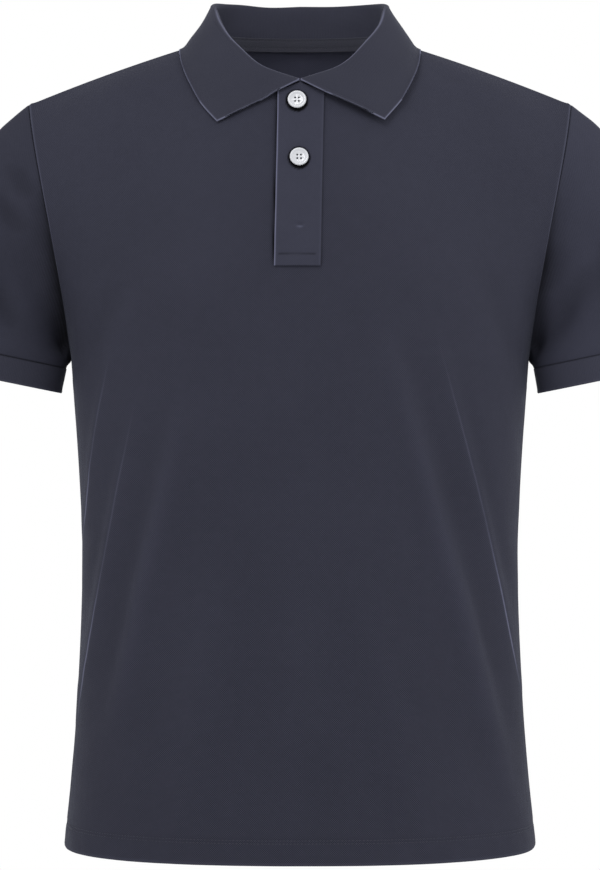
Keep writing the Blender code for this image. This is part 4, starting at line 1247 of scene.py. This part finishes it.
def rib_material():
    """Flat-knit rib: upright wales with faint courses across them."""
    nodes = Nodes("navy_flat_rib")
    u, v = nodes.uv()
    wales = nodes.wave(u, WALE_PITCH)
    courses = nodes.wave(nodes.math("MULTIPLY_ADD", wales, 0.00012, v), COURSE_PITCH)
    fuzz = nodes.noise(1500, 3.0)
    patches = nodes.noise(16, 3.0)
    shade = nodes.sum(
        (wales, 0.04), (courses, 0.04), (fuzz, 0.15), (patches, 0.06), (nodes.value("tone"), 1.0)
    )
    nodes.colour(RIB_NAVY, shade)
    nodes.bump(nodes.sum((wales, 1.0), (courses, 0.5), (fuzz, 0.4)), 0.00016, 0.4)
    nodes.roughness(0.88, nodes.sum((wales, 0.04), (fuzz, 0.04)))
    cloth_shader(nodes, 0.10, 0.08, 0.24)
    return nodes.material


def tape_material():
    """Woven twill tape: fine steep diagonals."""
    nodes = Nodes("navy_twill_tape")
    u, v = nodes.uv()
    twill = nodes.wave(nodes.math("MULTIPLY_ADD", v, 0.6, u), TWILL_PITCH)
    picks = nodes.wave(v, PICK_PITCH)
    fuzz = nodes.noise(1800, 2.0)
    nodes.colour(TAPE_NAVY, nodes.sum((twill, 0.14), (picks, 0.05), (fuzz, 0.10)))
    nodes.bump(nodes.sum((twill, 1.0), (picks, 0.4), (fuzz, 0.2)), 0.00014, 0.5)
    nodes.roughness(0.82, nodes.sum((twill, 0.04), (fuzz, 0.04)))
    cloth_shader(nodes, 0.25, 0.22, 0.4)
    return nodes.material


def thread_material(name, base, specular):
    nodes = Nodes(name)
    twist = nodes.noise(2600, 2.0)
    nodes.colour(base, nodes.sum((twist, 0.12)))
    nodes.bump(twist, 0.00005, 0.5)
    nodes.roughness(0.62, nodes.sum((twist, 0.06)))
    cloth_shader(nodes, specular, 0.12, 0.4)
    return nodes.material


def button_material():
    """Polished white polyester with faint clouding and fine specks."""
    nodes = Nodes("white_polished_button")
    cloud = nodes.noise(240, 3.0)
    speck = nodes.noise(2400, 2.0)
    nodes.colour(WHITE, nodes.sum((cloud, 0.030), (speck, 0.012)))
    nodes.bump(nodes.sum((cloud, 1.0), (speck, 0.3)), 0.00004, 0.25)
    nodes.roughness(0.22, nodes.sum((cloud, 0.04), (speck, 0.03)))
    nodes.shader.inputs["Coat Weight"].default_value = 0.25
    nodes.shader.inputs["Coat Roughness"].default_value = 0.08
    return nodes.material


def floor_material():
    nodes = Nodes("studio_floor")
    nodes.colour((0.86, 0.86, 0.86), nodes.sum((nodes.noise(3, 2.0), 0.01)))
    nodes.shader.inputs["Roughness"].default_value = 0.9
    nodes.shader.inputs["Emission Color"].default_value = (1, 1, 1, 1)
    nodes.shader.inputs["Emission Strength"].default_value = 0.10
    return nodes.material


# ---------------------------------------------------------------- studio


def make_studio():
    scene = bpy.context.scene
    scene.view_settings.view_transform = "Standard"
    world = bpy.data.worlds.new("studio")
    world.use_nodes = True
    sky = world.node_tree.nodes["Background"]
    sky.inputs["Color"].default_value = (1, 1, 1, 1)
    sky.inputs["Strength"].default_value = 1.0
    scene.world = world
    for name, place, size, power in LAMPS:
        light = bpy.data.lights.new(name, "AREA")
        light.shape = "DISK"
        light.size = size
        light.energy = power
        lamp = bpy.data.objects.new(name, light)
        lamp.location = place
        aim = Vector(LAMPS_AIM) - lamp.location
        lamp.rotation_euler = aim.to_track_quat("-Z", "Y").to_euler()
        scene.collection.objects.link(lamp)
    mesh = bmesh.new()
    bmesh.ops.create_circle(mesh, cap_ends=True, segments=96, radius=FLOOR_RADIUS)
    data = bpy.data.meshes.new("studio_floor")
    mesh.to_mesh(data)
    mesh.free()
    floor = add_piece("studio_floor", data, floor_material())
    floor.location = (0, 0, FLOOR_HEIGHT)
    lens = bpy.data.cameras.new("camera")
    lens.lens = LENS
    lens.clip_start = 0.05
    camera = bpy.data.objects.new("camera", lens)
    camera.location = CAMERA_PLACE
    camera.rotation_euler = (math.pi / 2, 0, 0)
    scene.collection.objects.link(camera)
    scene.camera = camera


# ---------------------------------------------------------------- the shirt


def main():
    pique = pique_material("navy_pique_knit", PIQUE_RELIEF)
    smooth_pique = pique_material("navy_pique_stretched", STRETCHED_RELIEF)
    rib, tape = rib_material(), tape_material()
    plastic = button_material()
    navy_thread = thread_material("navy_thread", THREAD_NAVY, 0.35)

    front, front_points = make_panel("pique_front", True, pique)
    back, back_points = make_panel("pique_back", False, pique)
    trees = [surface_tree(front_points), surface_tree(back_points)]
    upper, under, placket_points = make_placket(trees[0], smooth_pique)
    arms = [
        ("left", 1, LEFT_SLEEVE_CREASES, 61, LEFT_ARM_PAINTED_LIGHT),
        ("right", -1, RIGHT_SLEEVE_CREASES, 67, RIGHT_ARM_PAINTED_LIGHT),
    ]
    sleeves = {
        side: make_sleeve(f"pique_sleeve_{side}", way, table, smooth_pique, seed, tone)
        for side, way, table, seed, tone in arms
    }
    cuffs = {side: make_cuff(f"rib_cuff_{side}", way, rib, tone) for side, way, _, _, tone in arms}
    collar = make_collar(trees, rib)
    neck_tape, tape_points, tape_normals = make_tape(tape)
    buttons = {}
    for name, place in BUTTON_PLACES.items():
        buttons[name] = make_button(f"polished_{name}", place, trees[0], plastic, navy_thread)

    front_hem, back_hem = (
        stitch_mesh(name, [along_row(points, height) for height in HEM_STITCH_HEIGHTS], navy_thread)
        for name, points in (("front_hem_stitches", front_points), ("back_hem_stitches", back_points))
    )
    placket_normals = grid_normals(placket_points, False)
    width = np.cumsum(np.linalg.norm(np.diff(placket_points[0], axis=0), axis=1))
    start, end = (int(np.argmin(np.abs(width - at))) for at in (0.0050, width[-1] - 0.0038))
    rise = placket_points[:, placket_points.shape[1] // 2, 2] - PLACKET_BOTTOM
    row = int(np.argmin(np.abs(rise - BOX_STITCH)))
    sunk = placket_points[row, start:end] - placket_normals[row, start:end] * STITCH_RADIUS
    placket_lines = [(sunk, placket_normals[row, start:end])]
    placket_stitches = stitch_mesh("placket_stitches", placket_lines, navy_thread)
    rises = cloth_uv(tape_points, False)[:, TAPE_COLUMNS // 2, 1]
    tape_rows = [int(np.argmin(np.abs(rises - at))) for at in TAPE_STITCHES]
    tape_stitches = stitch_mesh(
        "neck_tape_stitches", [(tape_points[r], tape_normals[r]) for r in tape_rows], navy_thread
    )

    finish = [
        (front, "front", "navy_pique"),
        (back, "back", "navy_pique"),
        (upper, "placket_upper", "navy_pique"),
        (under, "placket_under", "navy_pique"),
        (sleeves["left"], "sleeve_left", "navy_pique"),
        (sleeves["right"], "sleeve_right", "navy_pique"),
        (cuffs["left"], "cuff_left", "navy_rib"),
        (cuffs["right"], "cuff_right", "navy_rib"),
        (collar, "collar", "navy_rib"),
        (neck_tape, "neck_tape", "navy_tape"),
        (buttons["button_top"][0], "button_top", "white_button"),
        (buttons["button_lower"][0], "button_lower", "white_button"),
        (buttons["button_top"][1], None, "white_button"),
        (buttons["button_lower"][1], None, "white_button"),
        (front_hem, None, "navy_pique"),
        (back_hem, None, "navy_pique"),
        (placket_stitches, None, "navy_pique"),
        (tape_stitches, None, "navy_tape"),
    ]
    for piece, node, slot in finish:
        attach(piece, "root")
        if node:
            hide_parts(node)


make_studio()
main()
